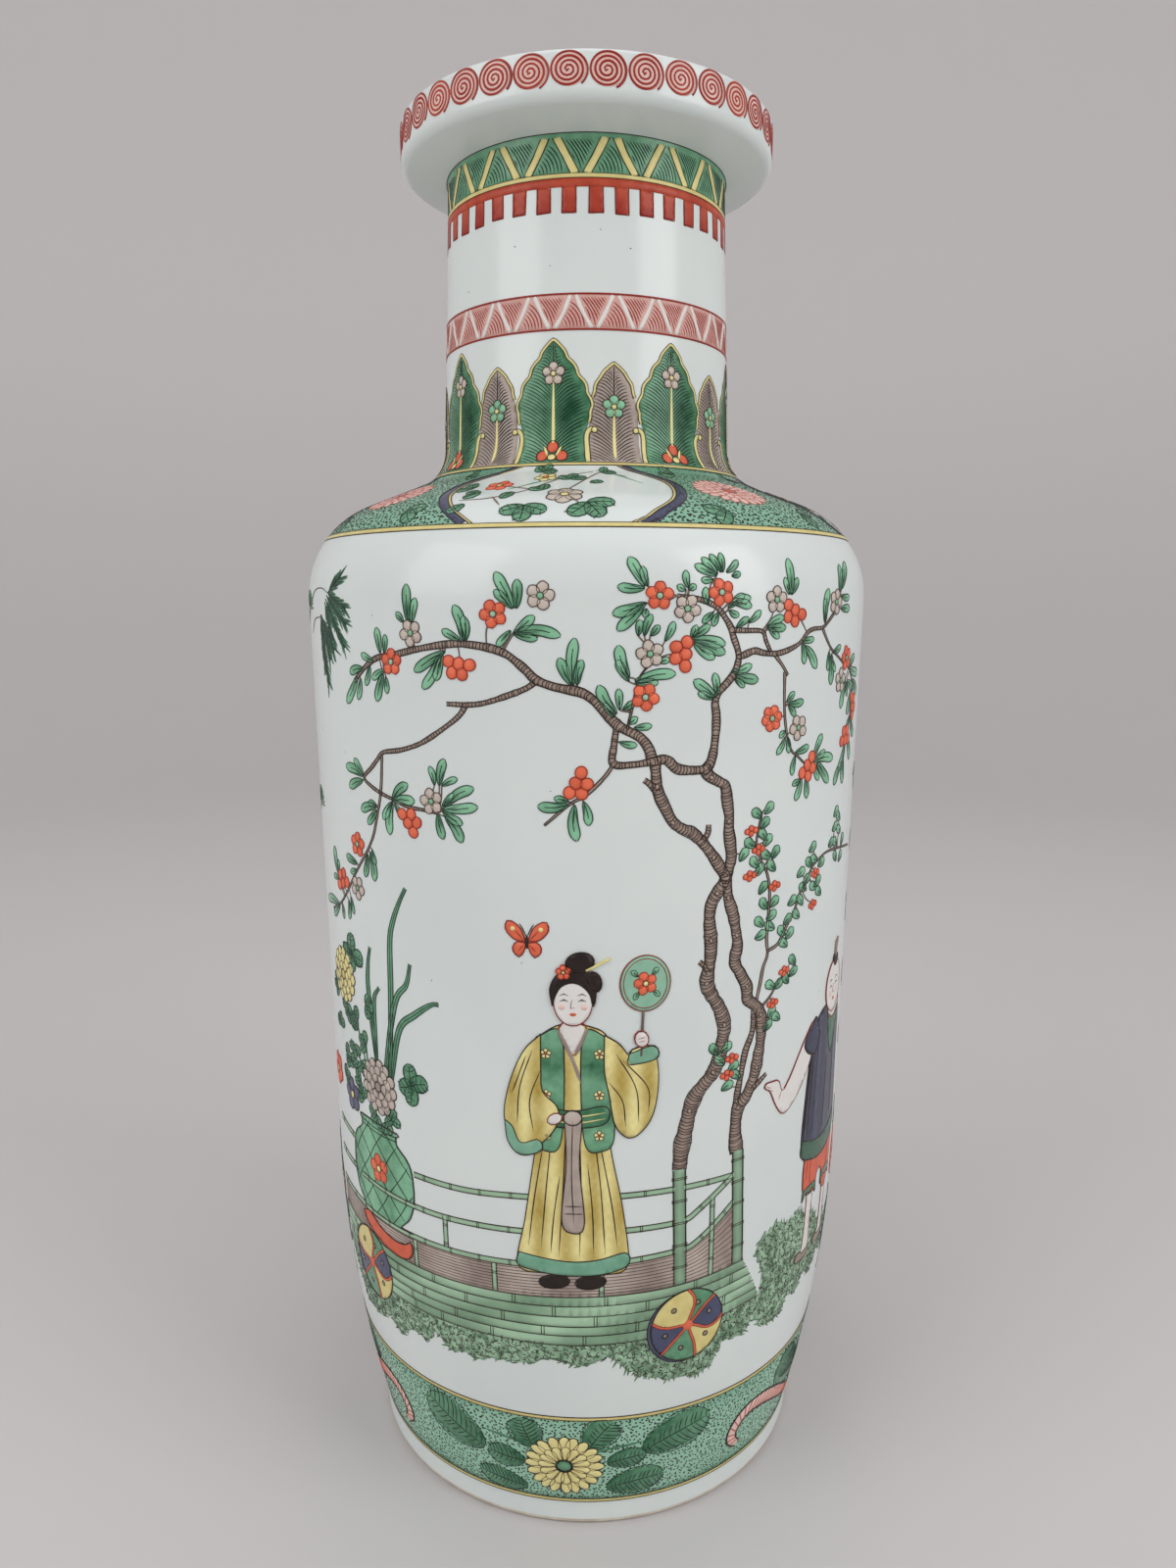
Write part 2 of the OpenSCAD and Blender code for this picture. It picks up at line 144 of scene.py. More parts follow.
# Floor inside and recess under the base
floor_z = recess_h + base_t
floor_rise = floor_z + floor_round - lower_c[1]
floor_reach = math.sqrt((lower_r - wall_t - floor_round) ** 2 - floor_rise**2)
floor_c = lower_c + (floor_reach, floor_rise)
floor_a = math.atan2(floor_rise, floor_reach)
recess_r = foot_r - foot_w
recess_c = np.array([recess_r - recess_round, recess_h - recess_round])


def outside(d):
    """The outside from the bare edge of the foot to the top of the lip, moved out by d."""
    return (
        [np.array([foot_r + d, bare_h])]
        + arc(foot_hollow_c, -foot_hollow, d, 0, foot_hollow_a)
        + arc(lower_c, lower_r, d, foot_hollow_a, wall_a, 4)
        + arc(shoulder_c, shoulder_round, d, wall_a, fall_a)
        + arc(neck_hollow_c, -neck_hollow, d, fall_a, neck_a)
        + arc(mouth_hollow_c, -mouth_hollow, d, neck_a, rise_a)
        + arc(rim_c, rim_round, d, rise_a, 0)
        + arc(lip_out_c, lip_round, d, 0, math.pi / 2)
        + [np.array([lip_mid_x, total_h + d])]
    )


def inside(d):
    """The inside from the middle of the floor to the top of the lip, moved into the wall by d."""
    e = d - wall_t
    return (
        [np.array([0, floor_z - d])]
        + arc(floor_c, floor_round, d, -math.pi / 2, floor_a)
        + arc(lower_c, lower_r, e, floor_a, wall_a, 8)
        + arc(shoulder_c, shoulder_round, e, wall_a, fall_a)
        + arc(neck_hollow_c, -neck_hollow, e, fall_a, 0)
        + arc(dish_hollow_c, -dish_hollow, d, 0, rise_a)
        + arc(dish_c, dish_round, d, rise_a, 0)
        + arc(lip_in_c, -lip_round, d, 0, -math.pi / 2)
        + [np.array([lip_mid_x, total_h - d])]
    )


def recess(d):
    """The recess under the base, from its edge to its middle, moved down into the open by d."""
    return (
        [np.array([recess_r - d, bare_h])]
        + arc(recess_c, -recess_round, d, math.pi, 1.5 * math.pi)
        + [np.array([0, recess_h - d])]
    )


# The outside in fine steps: radius, height, outward normal and the way along it
def evenly(points, step):
    """Points at even steps along a line of points."""
    points = np.asarray(points, float)
    way = np.concatenate([[0], np.cumsum(np.hypot(*np.diff(points, axis=0).T))])
    count = max(2, round(way[-1] / step) + 1)
    at = np.linspace(0, way[-1], count)
    return np.stack([np.interp(at, way, points[:, k]) for k in (0, 1)], 1)


outline = evenly(outside(0), 0.25)
slope = np.gradient(outline, axis=0)
slope /= np.hypot(slope[:, 0], slope[:, 1])[:, None]
ways = np.concatenate([[0], np.cumsum(np.hypot(*np.diff(outline, axis=0).T))])


class Zone:
    """A stretch of the vase laid flat: x runs to the right around it and y up along its outline."""

    def __init__(self, z, turn=0, mirrored=False):
        self.radius = float(np.interp(z, outline[:, 1], outline[:, 0]))
        self.turn = math.radians(turn)
        self.side = -1 if mirrored else 1

    def up(self, z):
        return np.interp(z, outline[:, 1], ways)

    def at(self, a, z):
        return np.array([math.radians(a) * self.radius, self.up(z)])

    def path(self, places):
        return np.array([self.at(a, z) for a, z in places])

    def lay(self, flat, lift):
        turn = self.turn + self.side * flat[:, 0] / self.radius
        r = np.interp(flat[:, 1], ways, outline[:, 0]) + lift * np.interp(flat[:, 1], ways, slope[:, 1])
        z = np.interp(flat[:, 1], ways, outline[:, 1]) - lift * np.interp(flat[:, 1], ways, slope[:, 0])
        return np.stack([r * np.sin(turn), -r * np.cos(turn), z], 1) * MM


# Layers of the painting: how far the top of each lies off the glaze, and the step between them
SUNK = -0.04
WASH = 0.06
FILL = 0.11
OVER = 0.16
LINE = 0.21
TOP = 0.26
LAYER = 0.05


def tint(red, green, blue):
    """Linear colour of a paint given in steps of 255."""
    return [((c / 255 + 0.055) / 1.055) ** 2.4 for c in (red, green, blue)] + [1]


def nodes_of(name):
    material = bpy.data.materials.new(name)
    material.use_nodes = True
    nodes = material.node_tree.nodes
    return material, nodes, material.node_tree.links.new, nodes["Principled BSDF"]


def enamel(name, deep, pale, rough, grain=260, mottle=0.5):
    """A paint between two colours: each shape carries its tone, and noise pools the colour."""
    material, nodes, link, shader = nodes_of(name)
    tone = nodes.new("ShaderNodeAttribute")
    tone.attribute_name = "tone"
    place = nodes.new("ShaderNodeTexCoord")
    noise = nodes.new("ShaderNodeTexNoise")
    noise.inputs["Scale"].default_value = grain
    noise.inputs["Detail"].default_value = 3
    pool = nodes.new("ShaderNodeMath")
    pool.operation = "MULTIPLY_ADD"
    pool.inputs[1].default_value = mottle
    add = nodes.new("ShaderNodeMath")
    add.operation = "ADD"
    add.inputs[1].default_value = -mottle / 2
    ramp = nodes.new("ShaderNodeValToRGB")
    ramp.color_ramp.elements[0].color = tint(*deep)
    ramp.color_ramp.elements[1].color = tint(*pale)
    link(place.outputs["Object"], noise.inputs["Vector"])
    link(noise.outputs["Fac"], pool.inputs[0])
    link(tone.outputs["Fac"], pool.inputs[2])
    link(pool.outputs[0], add.inputs[0])
    link(add.outputs[0], ramp.inputs["Fac"])
    link(ramp.outputs["Color"], shader.inputs["Base Color"])
    shader.inputs["Roughness"].default_value = rough
    shader.inputs["Specular IOR Level"].default_value = 0.32
    return material


def ceramic(name, low, high, rough, scale, wave):
    """A plain fired surface: two near colours mixed by soft noise, with a faint unevenness."""
    material, nodes, link, shader = nodes_of(name)
    place = nodes.new("ShaderNodeTexCoord")
    noise = nodes.new("ShaderNodeTexNoise")
    noise.inputs["Scale"].default_value = scale
    noise.inputs["Detail"].default_value = 4
    ramp = nodes.new("ShaderNodeValToRGB")
    ramp.color_ramp.elements[0].position = 0.3
    ramp.color_ramp.elements[0].color = tint(*low)
    ramp.color_ramp.elements[1].position = 0.7
    ramp.color_ramp.elements[1].color = tint(*high)
    ripple = nodes.new("ShaderNodeTexNoise")
    ripple.inputs["Scale"].default_value = 90
    bump = nodes.new("ShaderNodeBump")
    bump.inputs["Strength"].default_value = wave
    bump.inputs["Distance"].default_value = 0.0004
    link(place.outputs["Object"], noise.inputs["Vector"])
    link(place.outputs["Object"], ripple.inputs["Vector"])
    link(noise.outputs["Fac"], ramp.inputs["Fac"])
    link(ramp.outputs["Color"], shader.inputs["Base Color"])
    link(ripple.outputs["Fac"], bump.inputs["Height"])
    link(bump.outputs["Normal"], shader.inputs["Normal"])
    shader.inputs["Roughness"].default_value = rough
    return material


glaze = ceramic("glaze", (216, 225, 223), (224, 232, 229), 0.2, 14, 0.05)
biscuit = ceramic("biscuit", (196, 184, 166), (222, 214, 200), 0.75, 160, 0.6)
slip = ceramic("slip", (206, 202, 192), (216, 212, 204), 0.7, 120, 0.4)

# Each paint: a slot name and its enamel
PAINTS = {
    "red": ("enamel_red", enamel("iron_red", (150, 34, 22), (246, 122, 86), 0.38)),
    "brick": ("enamel_red", enamel("brick_red", (112, 26, 18), (178, 58, 42), 0.42)),
    "pink": ("enamel_pink", enamel("pink", (190, 112, 100), (236, 204, 194), 0.4)),
    "green": ("enamel_green", enamel("green", (0, 84, 46), (140, 198, 160), 0.2, 320, 0.65)),
    "moss": ("enamel_green", enamel("dark_green", (8, 36, 26), (62, 104, 80), 0.25)),
    "leek": ("enamel_green", enamel("leek_green", (84, 118, 88), (172, 206, 174), 0.28, 90, 0.7)),
    "turquoise": ("enamel_turquoise", enamel("turquoise", (76, 138, 108), (156, 202, 176), 0.25)),
    "yellow": ("enamel_yellow", enamel("yellow", (176, 150, 64), (244, 234, 164), 0.25)),
    "aubergine": ("enamel_aubergine", enamel("aubergine", (108, 84, 80), (206, 194, 182), 0.28)),
    "bark": ("enamel_aubergine", enamel("bark", (92, 76, 68), (172, 154, 140), 0.35)),
    "blue": ("enamel_blue", enamel("blue", (34, 38, 62), (90, 96, 126), 0.22)),
    "ink": ("enamel_black", enamel("ink", (28, 20, 16), (74, 52, 42), 0.4)),
    "white": ("glaze", enamel("white", (206, 198, 188), (232, 230, 226), 0.2)),
}


def ride(piece, slot, *nodes):
    bpy.context.collection.objects.link(piece)
    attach(piece, "root")
    if nodes:
        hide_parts(*nodes)


def unrolled(points, corners):
    """Places on a flat sheet for the corners of faces: the turn round the vase and the height."""
    turn = np.arctan2(points[:, 0], -points[:, 1]) / (2 * math.pi) % 1
    high = points[:, 2] - points[:, 2].min()
    across = turn[corners]
    across = np.where((np.ptp(across, axis=1) > 0.5)[:, None] & (across < 0.5), across + 1, across)
    margin = 0.02
    return np.stack([margin + 0.9 * across, margin + 0.96 * (high / high.max())[corners]], 2)


class Coat:
    """One paint of one zone, made of thin closed shapes that lie on the glaze."""

    def __init__(self):
        self.points = []
        self.corners = []
        self.tones = []
        self.count = 0

    def add(self, zone, flat, lift, corners, tone):
        corners = np.asarray(corners) + self.count
        self.points.append(zone.lay(flat, lift))
        self.corners.append(corners if zone.side > 0 else corners[:, ::-1])
        self.tones.append(np.broadcast_to(tone, len(flat)))
        self.count += len(flat)

    def build(self, name, paint, *nodes):
        points = np.concatenate(self.points)
        corners = np.concatenate(self.corners)
        mesh = bpy.data.meshes.new(name)
        mesh.vertices.add(len(points))
        mesh.vertices.foreach_set("co", points.ravel())
        mesh.loops.add(corners.size)
        mesh.loops.foreach_set("vertex_index", corners.ravel().astype(np.int32))
        mesh.polygons.add(len(corners))
        mesh.polygons.foreach_set("loop_start", np.arange(0, corners.size, 3, dtype=np.int32))
        mesh.polygons.foreach_set("use_smooth", np.ones(len(corners), bool))
        sheet = mesh.uv_layers.new(name="OFBake")
        sheet.data.foreach_set("uv", unrolled(points, corners).ravel())
        tone = mesh.attributes.new("tone", "FLOAT", "POINT")
        tone.data.foreach_set("value", np.concatenate(self.tones).astype(np.float32))
        mesh.update(calc_edges=True)
        slot, material = PAINTS[paint]
        mesh.materials.append(material)
        ride(bpy.data.objects.new(name, mesh), slot, *nodes)


# Places across a round limb or cane
ROUND = (1, 0.7, 0, -0.7, -1)

coats = {}


def unit_ways(path):
    """Directions along a path, one at each point."""
    way = np.gradient(path, axis=0)
    return way / (np.hypot(way[:, 0], way[:, 1])[:, None] + 1e-9)


def directions(a):
    """Directions at many angles."""
    return np.stack([np.cos(a), np.sin(a)], 1)


def leftwards(way):
    """Directions turned left by a right angle."""
    return np.stack([-way[..., 1], way[..., 0]], -1)


def edges_of(path, half):
    """Both edges of a strip along a path."""
    left = leftwards(unit_ways(path)) * np.broadcast_to(half, len(path))[:, None]
    return path + left, path - left


def smooth(points, step):
    """Evenly spaced points along a soft curve through the given ones."""
    p = np.asarray(points, float)
    if len(p) > 2:
        p = np.vstack([2 * p[0] - p[1], p, 2 * p[-1] - p[-2]])
        t = np.linspace(0, 1, 8, endpoint=False)[:, None]
        bends = []
        for a, b, c, d in zip(p, p[1:], p[2:], p[3:]):
            square = a - 2.5 * b + 2 * c - d / 2
            cube = 1.5 * (b - c) + (d - a) / 2
            bends.append(b + (c - a) * t / 2 + square * t**2 + cube * t**3)
        p = np.vstack(bends + [p[-2:-1]])
    return evenly(p, step)


def oval(centre, rx, ry, turn, count):
    a = np.linspace(0, 2 * math.pi, count, endpoint=False)
    x = rx * np.cos(a)
    y = ry * np.sin(a)
    c, s = direction(turn)
    return np.stack([centre[0] + x * c - y * s, centre[1] + x * s + y * c], 1)


def anticlockwise(points):
    points = np.asarray(points, float)
    x, y = points.T
    area = np.sum(x * np.roll(y, -1) - np.roll(x, -1) * y)
    return points if area > 0 else points[::-1]


def closed(points):
    points = np.asarray(points, float)
    return np.vstack([points, points[:1]])


def rounded(points, step):
    """A soft closed ring through the given points."""
    return smooth(closed(points), step)[:-1]


def inside_of(points, ring):
    """Which points lie within a closed ring."""
    found = np.zeros(len(points), bool)
    x, y = points.T
    for (x0, y0), (x1, y1) in zip(ring, np.roll(ring, -1, axis=0)):
        crosses = (y0 > y) != (y1 > y)
        rise = y1 - y0 if y1 != y0 else 1e-9
        found ^= crosses & (x < x0 + (y - y0) * (x1 - x0) / rise)
    return found


def grid_in(ring, step, jitter=0.0):
    """Staggered points within a ring, each moved a little by chance."""
    low = ring.min(0)
    high = ring.max(0)
    xs = np.arange(low[0] + step / 2, high[0], step)
    ys = np.arange(low[1] + step / 2, high[1], step * 0.87)
    x, y = np.meshgrid(xs, ys)
    x[1::2] += step / 2
    points = np.stack([x.ravel(), y.ravel()], 1)
    points += chance.uniform(-jitter, jitter, points.shape) * step
    return points[inside_of(points, ring)]


def jog(points, size):
    """Points moved a little, as an unsteady hand would."""
    points = np.asarray(points, float)
    return points + chance.uniform(-size, size, points.shape)


def shade_of(tone, flat):
    """The tone at each flat point, where it may be a function of them."""
    return tone(flat) if callable(tone) else np.full(len(flat), tone)


class Pen:
    """Paints one part of the painting in one zone; rise lifts what lies over other shapes."""

    def __init__(self, zone, part, rise=0.0):
        self.zone = zone
        self.part = part
        self.rise = rise
        self.radius = zone.radius
        self.up = zone.up
        self.at = zone.at
        self.path = zone.path

    def lifted(self, rise):
        return Pen(self.zone, self.part, rise)

    def on(self, part):
        return Pen(self.zone, part)

    def add(self, paint, flat, lift, corners, tone):
        coat = coats.setdefault((self.part, paint), Coat())
        coat.add(self.zone, flat, np.where(lift > 0, lift + self.rise, lift), corners, tone)

    def ribbon(self, paint, path, half, across, lifts, tone):
        """A closed strip along a path: its cross-section runs from left to right over the given lifts."""
        n = len(path)
        rows = len(across)
        left = leftwards(unit_ways(path)) * np.broadcast_to(half, n)[:, None]
        flat = np.concatenate([path + left * k for k in across])
        i = np.arange(n - 1)
        last = (rows - 1) * n
        sides = [(row * n + i, (row + 1) * n + i) for row in range(rows - 1)] + [(last + i, i)]
        quads = np.concatenate([np.stack([b, b + 1, a + 1, a], 1) for a, b in sides])
        caps = [(0, k * n, (k - 1) * n) for k in range(rows - 1, 1, -1)]
        caps += [(n - 1, k * n - 1, (k + 1) * n - 1) for k in range(2, rows)]
        corners = np.concatenate([quads[:, [0, 1, 2]], quads[:, [0, 2, 3]], caps])
        self.add(paint, flat, np.repeat(lifts, n), corners, np.broadcast_to(tone, (rows, n)).ravel())

    def stroke(self, paint, points, width, tone, top, step=1.0, taper=0.0):
        """A brush line with a flat top; taper thins both its ends."""
        path = smooth(points, step)
        t = np.linspace(0, 1, len(path))
        half = width / 2 * (1 + 0.12 * np.sin(t * 9 + chance.uniform(0, 6)))
        if taper:
            half = half * np.clip(np.minimum(t, 1 - t) / taper, 0.15, 1)
        self.ribbon(paint, path, half, (1, 0.85, -0.85, -1), (SUNK, top, top, SUNK), tone)

    def blade(
        self, paint, points, width, tone, top, belly, step=1.0, tip=0.12, full=0.75, ripple=0.0, lobes=7,
    ):
        """A leaf-shaped strip, widest at belly along its length, with a tone at its root and its tip."""
        path = smooth(points, step)
        t = np.linspace(0, 1, len(path))
        quarter = math.pi / 2
        rise = np.where(t < belly, np.sin(t / belly * quarter), np.cos((t - belly) / (1 - belly) * quarter))
        half = width / 2 * np.clip(np.abs(rise) ** full, tip, 1)
        half = half * (1 + ripple * (np.abs(np.sin(t * math.pi * lobes)) - 0.5))
        shade = tone[0] + (tone[1] - tone[0]) * t
        tones = np.stack([shade - 0.15, shade, shade + 0.06, shade, shade - 0.15])
        self.ribbon(paint, path, half, (1, 0.75, 0, -0.75, -1), (SUNK, top, top + 0.02, top, SUNK), tones)
        return path, half

    def rim_lines(self, paint, path, half, width, tone, top=LINE):
        """Thin lines along both edges of a strip."""
        for edge in edges_of(path, half):
            self.stroke(paint, edge, width, tone, top)

    def dab(self, paint, points, tone, top, edge=-0.15):
        """A small closed shape that can be seen whole from its middle, its edge darker."""
        ring = anticlockwise(points)
        n = len(ring)
        middle = ring.mean(0)
        flat = np.vstack([ring, middle + (ring - middle) * 0.85, [middle, middle]])
        lift = np.concatenate([np.full(n, SUNK), np.full(n, top), [top + 0.02, SUNK]])
        tones = np.concatenate([np.full(n, tone + edge), np.full(n, tone), [tone + 0.1, tone]])
        i = np.arange(n)
        j = (i + 1) % n
        high = np.full(n, 2 * n)
        fans = [(i, j, n + j), (i, n + j, n + i), (n + i, n + j, high), (j, i, high + 1)]
        self.add(paint, flat, lift, np.concatenate([np.stack(f, 1) for f in fans]), tones)

    def bead(self, paint, ring, tone, top, width, line_tone, step):
        """A dab with a dark outline."""
        self.dab(paint, ring, tone, top)
        self.stroke("ink", closed(ring), width, line_tone, top + LAYER, step)

    def patch(self, paint, points, tone, top, grain):
        """A closed shape of any outline; tone may be a function of the flat points."""
        ring = anticlockwise(evenly(closed(points), grain)[:-1])
        spots = np.vstack([ring, grid_in(ring, grain)])
        made = delaunay_2d_cdt([Vector(p) for p in spots], [], [list(range(len(ring)))], 1, 1e-5)
        flat = np.array([tuple(p) for p in made[0]])
        corners = np.array(made[2])
        n = len(flat)
        sides = np.concatenate([corners[:, [0, 1]], corners[:, [1, 2]], corners[:, [2, 0]]])
        known = {tuple(s) for s in sides.tolist()}
        rim = np.array([s for s in sides.tolist() if (s[1], s[0]) not in known])
        a, b = rim.T
        skirt = np.concatenate([np.stack([a + n, b + n, b], 1), np.stack([a + n, b, a], 1)])
        shade = shade_of(tone, flat)
        lift = np.concatenate([np.full(n, top), np.full(n, SUNK)])
        faces = np.concatenate([corners, corners[:, ::-1] + n, skirt])
        self.add(paint, np.vstack([flat, flat]), lift, faces, np.concatenate([shade, shade]))

    def belt(self, paint, y0, y1, tone, top, rows):
        """A band right around the vase between two ways along its outline."""
        steps = 240
        x = np.linspace(0, 2 * math.pi * self.radius, steps, endpoint=False)
        inner = np.linspace(y0 + 0.06, y1 - 0.06, max(rows, 2))
        levels = [(y0, SUNK)] + [(y, top) for y in inner] + [(y1, SUNK)] + [(y, SUNK) for y in inner[::-1]]
        flat = np.concatenate([np.stack([x, np.full(steps, y)], 1) for y, _ in levels])
        lift = np.repeat([h for _, h in levels], steps)
        i = np.arange(steps)
        j = (i + 1) % steps
        count = len(levels)
        pairs = [(k * steps, (k + 1) % count * steps) for k in range(count)]
        quads = np.concatenate([np.stack([a + i, a + j, b + j, b + i], 1) for a, b in pairs])
        corners = np.concatenate([quads[:, [0, 1, 2]], quads[:, [0, 2, 3]]])
        self.add(paint, flat, lift, corners, shade_of(tone, flat))

    def edge_lines(self, paint, edges, half, tone, top=LINE):
        """Thin lines right around the vase."""
        for edge in edges:
            self.belt(paint, edge - half, edge + half, tone, top, 1)

    def dots(self, paint, centres, size, tone):
        """Many small pointed dots that lie on a painted ground."""
        n = len(centres)
        around = [centres + size * direction(a) for a in (0.4, 1.97, 3.54, 5.11)]
        flat = np.concatenate(around + [centres])
        lift = np.concatenate([np.full(4 * n, WASH - 0.03), np.full(n, OVER)])
        i = np.arange(n)
        rings = [i, i + n, i + 2 * n, i + 3 * n]
        faces = [np.stack([rings[k], rings[(k + 1) % 4], i + 4 * n], 1) for k in range(4)]
        faces += [np.stack([rings[2], rings[1], rings[0]], 1), np.stack([rings[3], rings[2], rings[0]], 1)]
        self.add(paint, flat, lift, np.concatenate(faces), tone)

    def clipped(self, paint, line, ring, width, tone, top):
        """The part of a line that lies within a closed ring."""
        held = inside_of(line, ring)
        if held.sum() > 2:
            self.stroke(paint, line[held], width, tone, top, 1.3, 0.1)


# Flowers and leaves that several zones share
def blossom(pen, centre, size, paint, turn, petals=5, heart="yellow"):
    """A round blossom seen from the front."""
    tone, edge, edge_tone = (0.75, "red", 0.1) if paint == "red" else (0.95, "ink", 0.95)
    for k in range(petals):
        a = turn + k * 2 * math.pi / petals
        spot = centre + direction(a) * size * 0.57
        ring = jog(oval(spot, size * 0.44, size * 0.41, a, 14), size * 0.025)
        pen.dab(paint, ring, tone + chance.uniform(-0.1, 0.15), FILL + 0.006 * k, -0.25)
        pen.stroke(edge, closed(ring), 0.24, edge_tone, OVER, 0.8)
    pen.bead(heart, oval(centre, size * 0.24, size * 0.24, 0, 10), 0.9, LINE, 0.25, 0.8, 0.6)


def finger_leaf(pen, root, tip, width):
    """A long round-ended leaf with a dark mid line, two short ribs and dark edges."""
    way = tip - root
    side = leftwards(way) * chance.uniform(-0.09, 0.09)
    bend = [root, root + way * 0.5 + side, root + way]
    low = chance.uniform(0.1, 0.5)
    path, half = pen.blade("green", bend, width, (low, low + 0.75), FILL, 0.72, full=0.5)
    pen.rim_lines("moss", path, half, 0.24, 0.2, OVER)
    pen.stroke("moss", path[: max(3, len(path) * 4 // 5)], 0.3, 0.0, OVER, 1.2)
    across = leftwards(way) / np.hypot(*way) * width
    for s in (-0.22, 0.22):
        pen.stroke("moss", [root + way * 0.1, root + way * 0.55 + across * s], 0.22, 0.2, OVER, 1.2, 0.3)


def round_leaf(pen, centre, length, width, turn, tone, ribs):
    """A broad leaf with curved ribs and a wavy edge."""
    way = direction(turn)
    side = leftwards(way)
    bend = [centre - way * length / 2, centre + side * width * 0.04, centre + way * length / 2]
    tones = (tone - 0.2, tone + 0.15)
    path, half = pen.blade("green", bend, width, tones, OVER, 0.6, 0.7, full=0.5, ripple=0.14, lobes=ribs)
    pen.rim_lines("moss", path, half * 0.97, 0.26, 0.3, LINE)
    pen.stroke("moss", path, 0.34, 0.0, TOP, 1.5, 0.2)
    for k in range(1, ribs):
        j = min(len(path) - 2, int(len(path) * k / ribs))
        for s, share in ((1, 0.55), (-1, 0.92)):
            reach = half[j] * share
            lean = way * reach * 0.5
            end = path[j] + s * side * reach + lean
            rib = [path[j], (path[j] * 2 + end * 3) / 5 - lean * 0.12, end]
            pen.stroke("moss", rib, 0.28, 0.0, TOP, 1.2, 0.3)


def chrysanthemum(pen, centre, size, paint, rings, line="ink", heart="green", squash=1.0):
    """A many-petalled flower of rings of narrow petals, the outer ring first."""
    for level, (reach, count, width) in enumerate(rings):
        lift = FILL + 0.03 + 0.045 * level
        for k in range(count):
            a = (k + 0.5 * (level % 2)) * 2 * math.pi / count + chance.uniform(-0.04, 0.04)
            way = np.array([math.cos(a), math.sin(a) * squash]) * size * reach
            petal = [centre + way * 0.35, centre + way]
            path, half = pen.blade(
                paint, petal, width * size, (0.55, 0.9), lift, 0.7, 0.8, tip=0.4, full=0.5,
            )
            left, right = edges_of(path, half)
            pen.stroke(line, closed(np.vstack([left, right[::-1]])), 0.24, 0.25, lift + 0.025, 0.9)
    pen.dab(heart, oval(centre, size * 0.19, size * 0.19 * squash, 0, 10), 0.4, TOP)
    pen.stroke("ink", closed(oval(centre, size * 0.2, size * 0.2 * squash, 0, 10)), 0.3, 0.2, TOP + LAYER)


def lobed_leaf(pen, centre, size, turn, lobes):
    """A leaf of a few round lobes, each with fine ribs."""
    for k in range(lobes):
        a = turn + (k - (lobes - 1) / 2) * 1.15
        round_leaf(pen, centre + direction(a) * size * 0.55, size * 1.15, size * 0.85, a, 0.45, 4)


def yellow_line(pen, y0, y1, tone, edge):
    """A yellow line right around the vase with dark edges."""
    pen.belt("yellow", y0, y1, tone, OVER, 2)
    pen.edge_lines("ink", (y0, y1), edge, 0.5)


# Rim: a row of red spirals on a pale wash
spiral_count = 35
spiral_turns = 4.3
spiral_turn = 5.5
spiral_z = 454.3
spiral_w = 5.7
spiral_h = 5.2


def paint_rim():
    pen = Pen(Zone(rim_c[1] + rim_h / 2), "rim")
    t = np.linspace(0.03, 1, 110)
    for k in range(spiral_count):
        centre = pen.at(spiral_turn + k * 360 / spiral_count, spiral_z + chance.uniform(-0.15, 0.15))
        wide = spiral_w + chance.uniform(-0.12, 0.1)
        high = spiral_h + chance.uniform(-0.12, 0.12)
        pen.dab("pink", oval(centre, wide * 0.96, high * 0.96, 0, 24), 0.8, WASH, 0)
        a = -0.9 + spiral_turns * 2 * math.pi * (1 - t) + chance.uniform(-0.2, 0.2)
        curl = centre + np.stack([wide * t * np.cos(a), high * t * np.sin(a)], 1)
        pen.stroke("red", curl, 0.66, 0.05 + chance.uniform(-0.2, 0.2), OVER, 1.05)


# Neck: zigzag band, red teeth, hatched band and upright leaves
zigzag_z = 432.32
zigzag_top_z = 443.6
corner_z = 442.6
bar_z = 428.42
tooth_z = 421.22
line_w = 1.3
band_z = 387.4
band_h = 10.4
leaf_z = 347.3
neck_mid_z = 400
zigzag_count = 16
zigzag_turn = -2
hatch_count = 23
hatch_turn = 3
tooth_count = 37
tooth_turn = 3.5
tooth_w = 4.2
leaf_count = 8
leaf_turn = -12
short_leaf_turn = 22


def zigzag(pen, low, high, count, turn, bars, hatch, bar_w, gap, line_tone):
    """Slanted bars between two levels; the triangles between them hold slanted lines and arcs in turn."""
    rise = high - low
    pitch = 2 * math.pi * pen.radius / count
    x0 = math.radians(turn) * pen.radius
    inset = bar_w * 0.75
    wide = pitch / 2 - 2.4 * inset
    steps = int(2 * wide / gap)
    along = np.linspace(0, 1, 26)[:, None]
    bow = (1.2, 0) * np.sin(along * math.pi)
    bend = np.hstack([np.cos(along * 1.35), np.sin(along * 1.35)])
    for k in range(count):
        foot = np.array([x0 + k * pitch, low])
        for side in (1, -1):
            root = foot + (side * inset, 0)
            head = foot + (side * (pitch / 2 - inset), rise)
            middle = (root + head) / 2 + (side * chance.uniform(-0.2, 0.5), 0)
            bars(smooth([root, middle, head], 1.2))
        left = foot + (-wide, rise - 0.2)
        ring = np.array([left, foot, foot + (wide, rise - 0.2)])
        slants = [
            left + (j * gap * 0.95, 0) + (foot - left) * along * 1.1 + bow
            for j in range(-1, steps + 4)
        ]
        left = foot + (pitch / 2 - wide, 0.2)
        arc_ring = np.array([left, foot + (pitch / 2 + wide, 0.2), foot + (pitch / 2, rise)])
        arcs = [left - (1, 0) + (j * gap + 0.4) * bend for j in range(1, steps + 1)]
        for field, found in ((ring, slants), (arc_ring, arcs)):
            for line in found:
                pen.clipped(hatch, line, field, 0.38, line_tone + chance.uniform(-0.1, 0.15), FILL + 0.03)


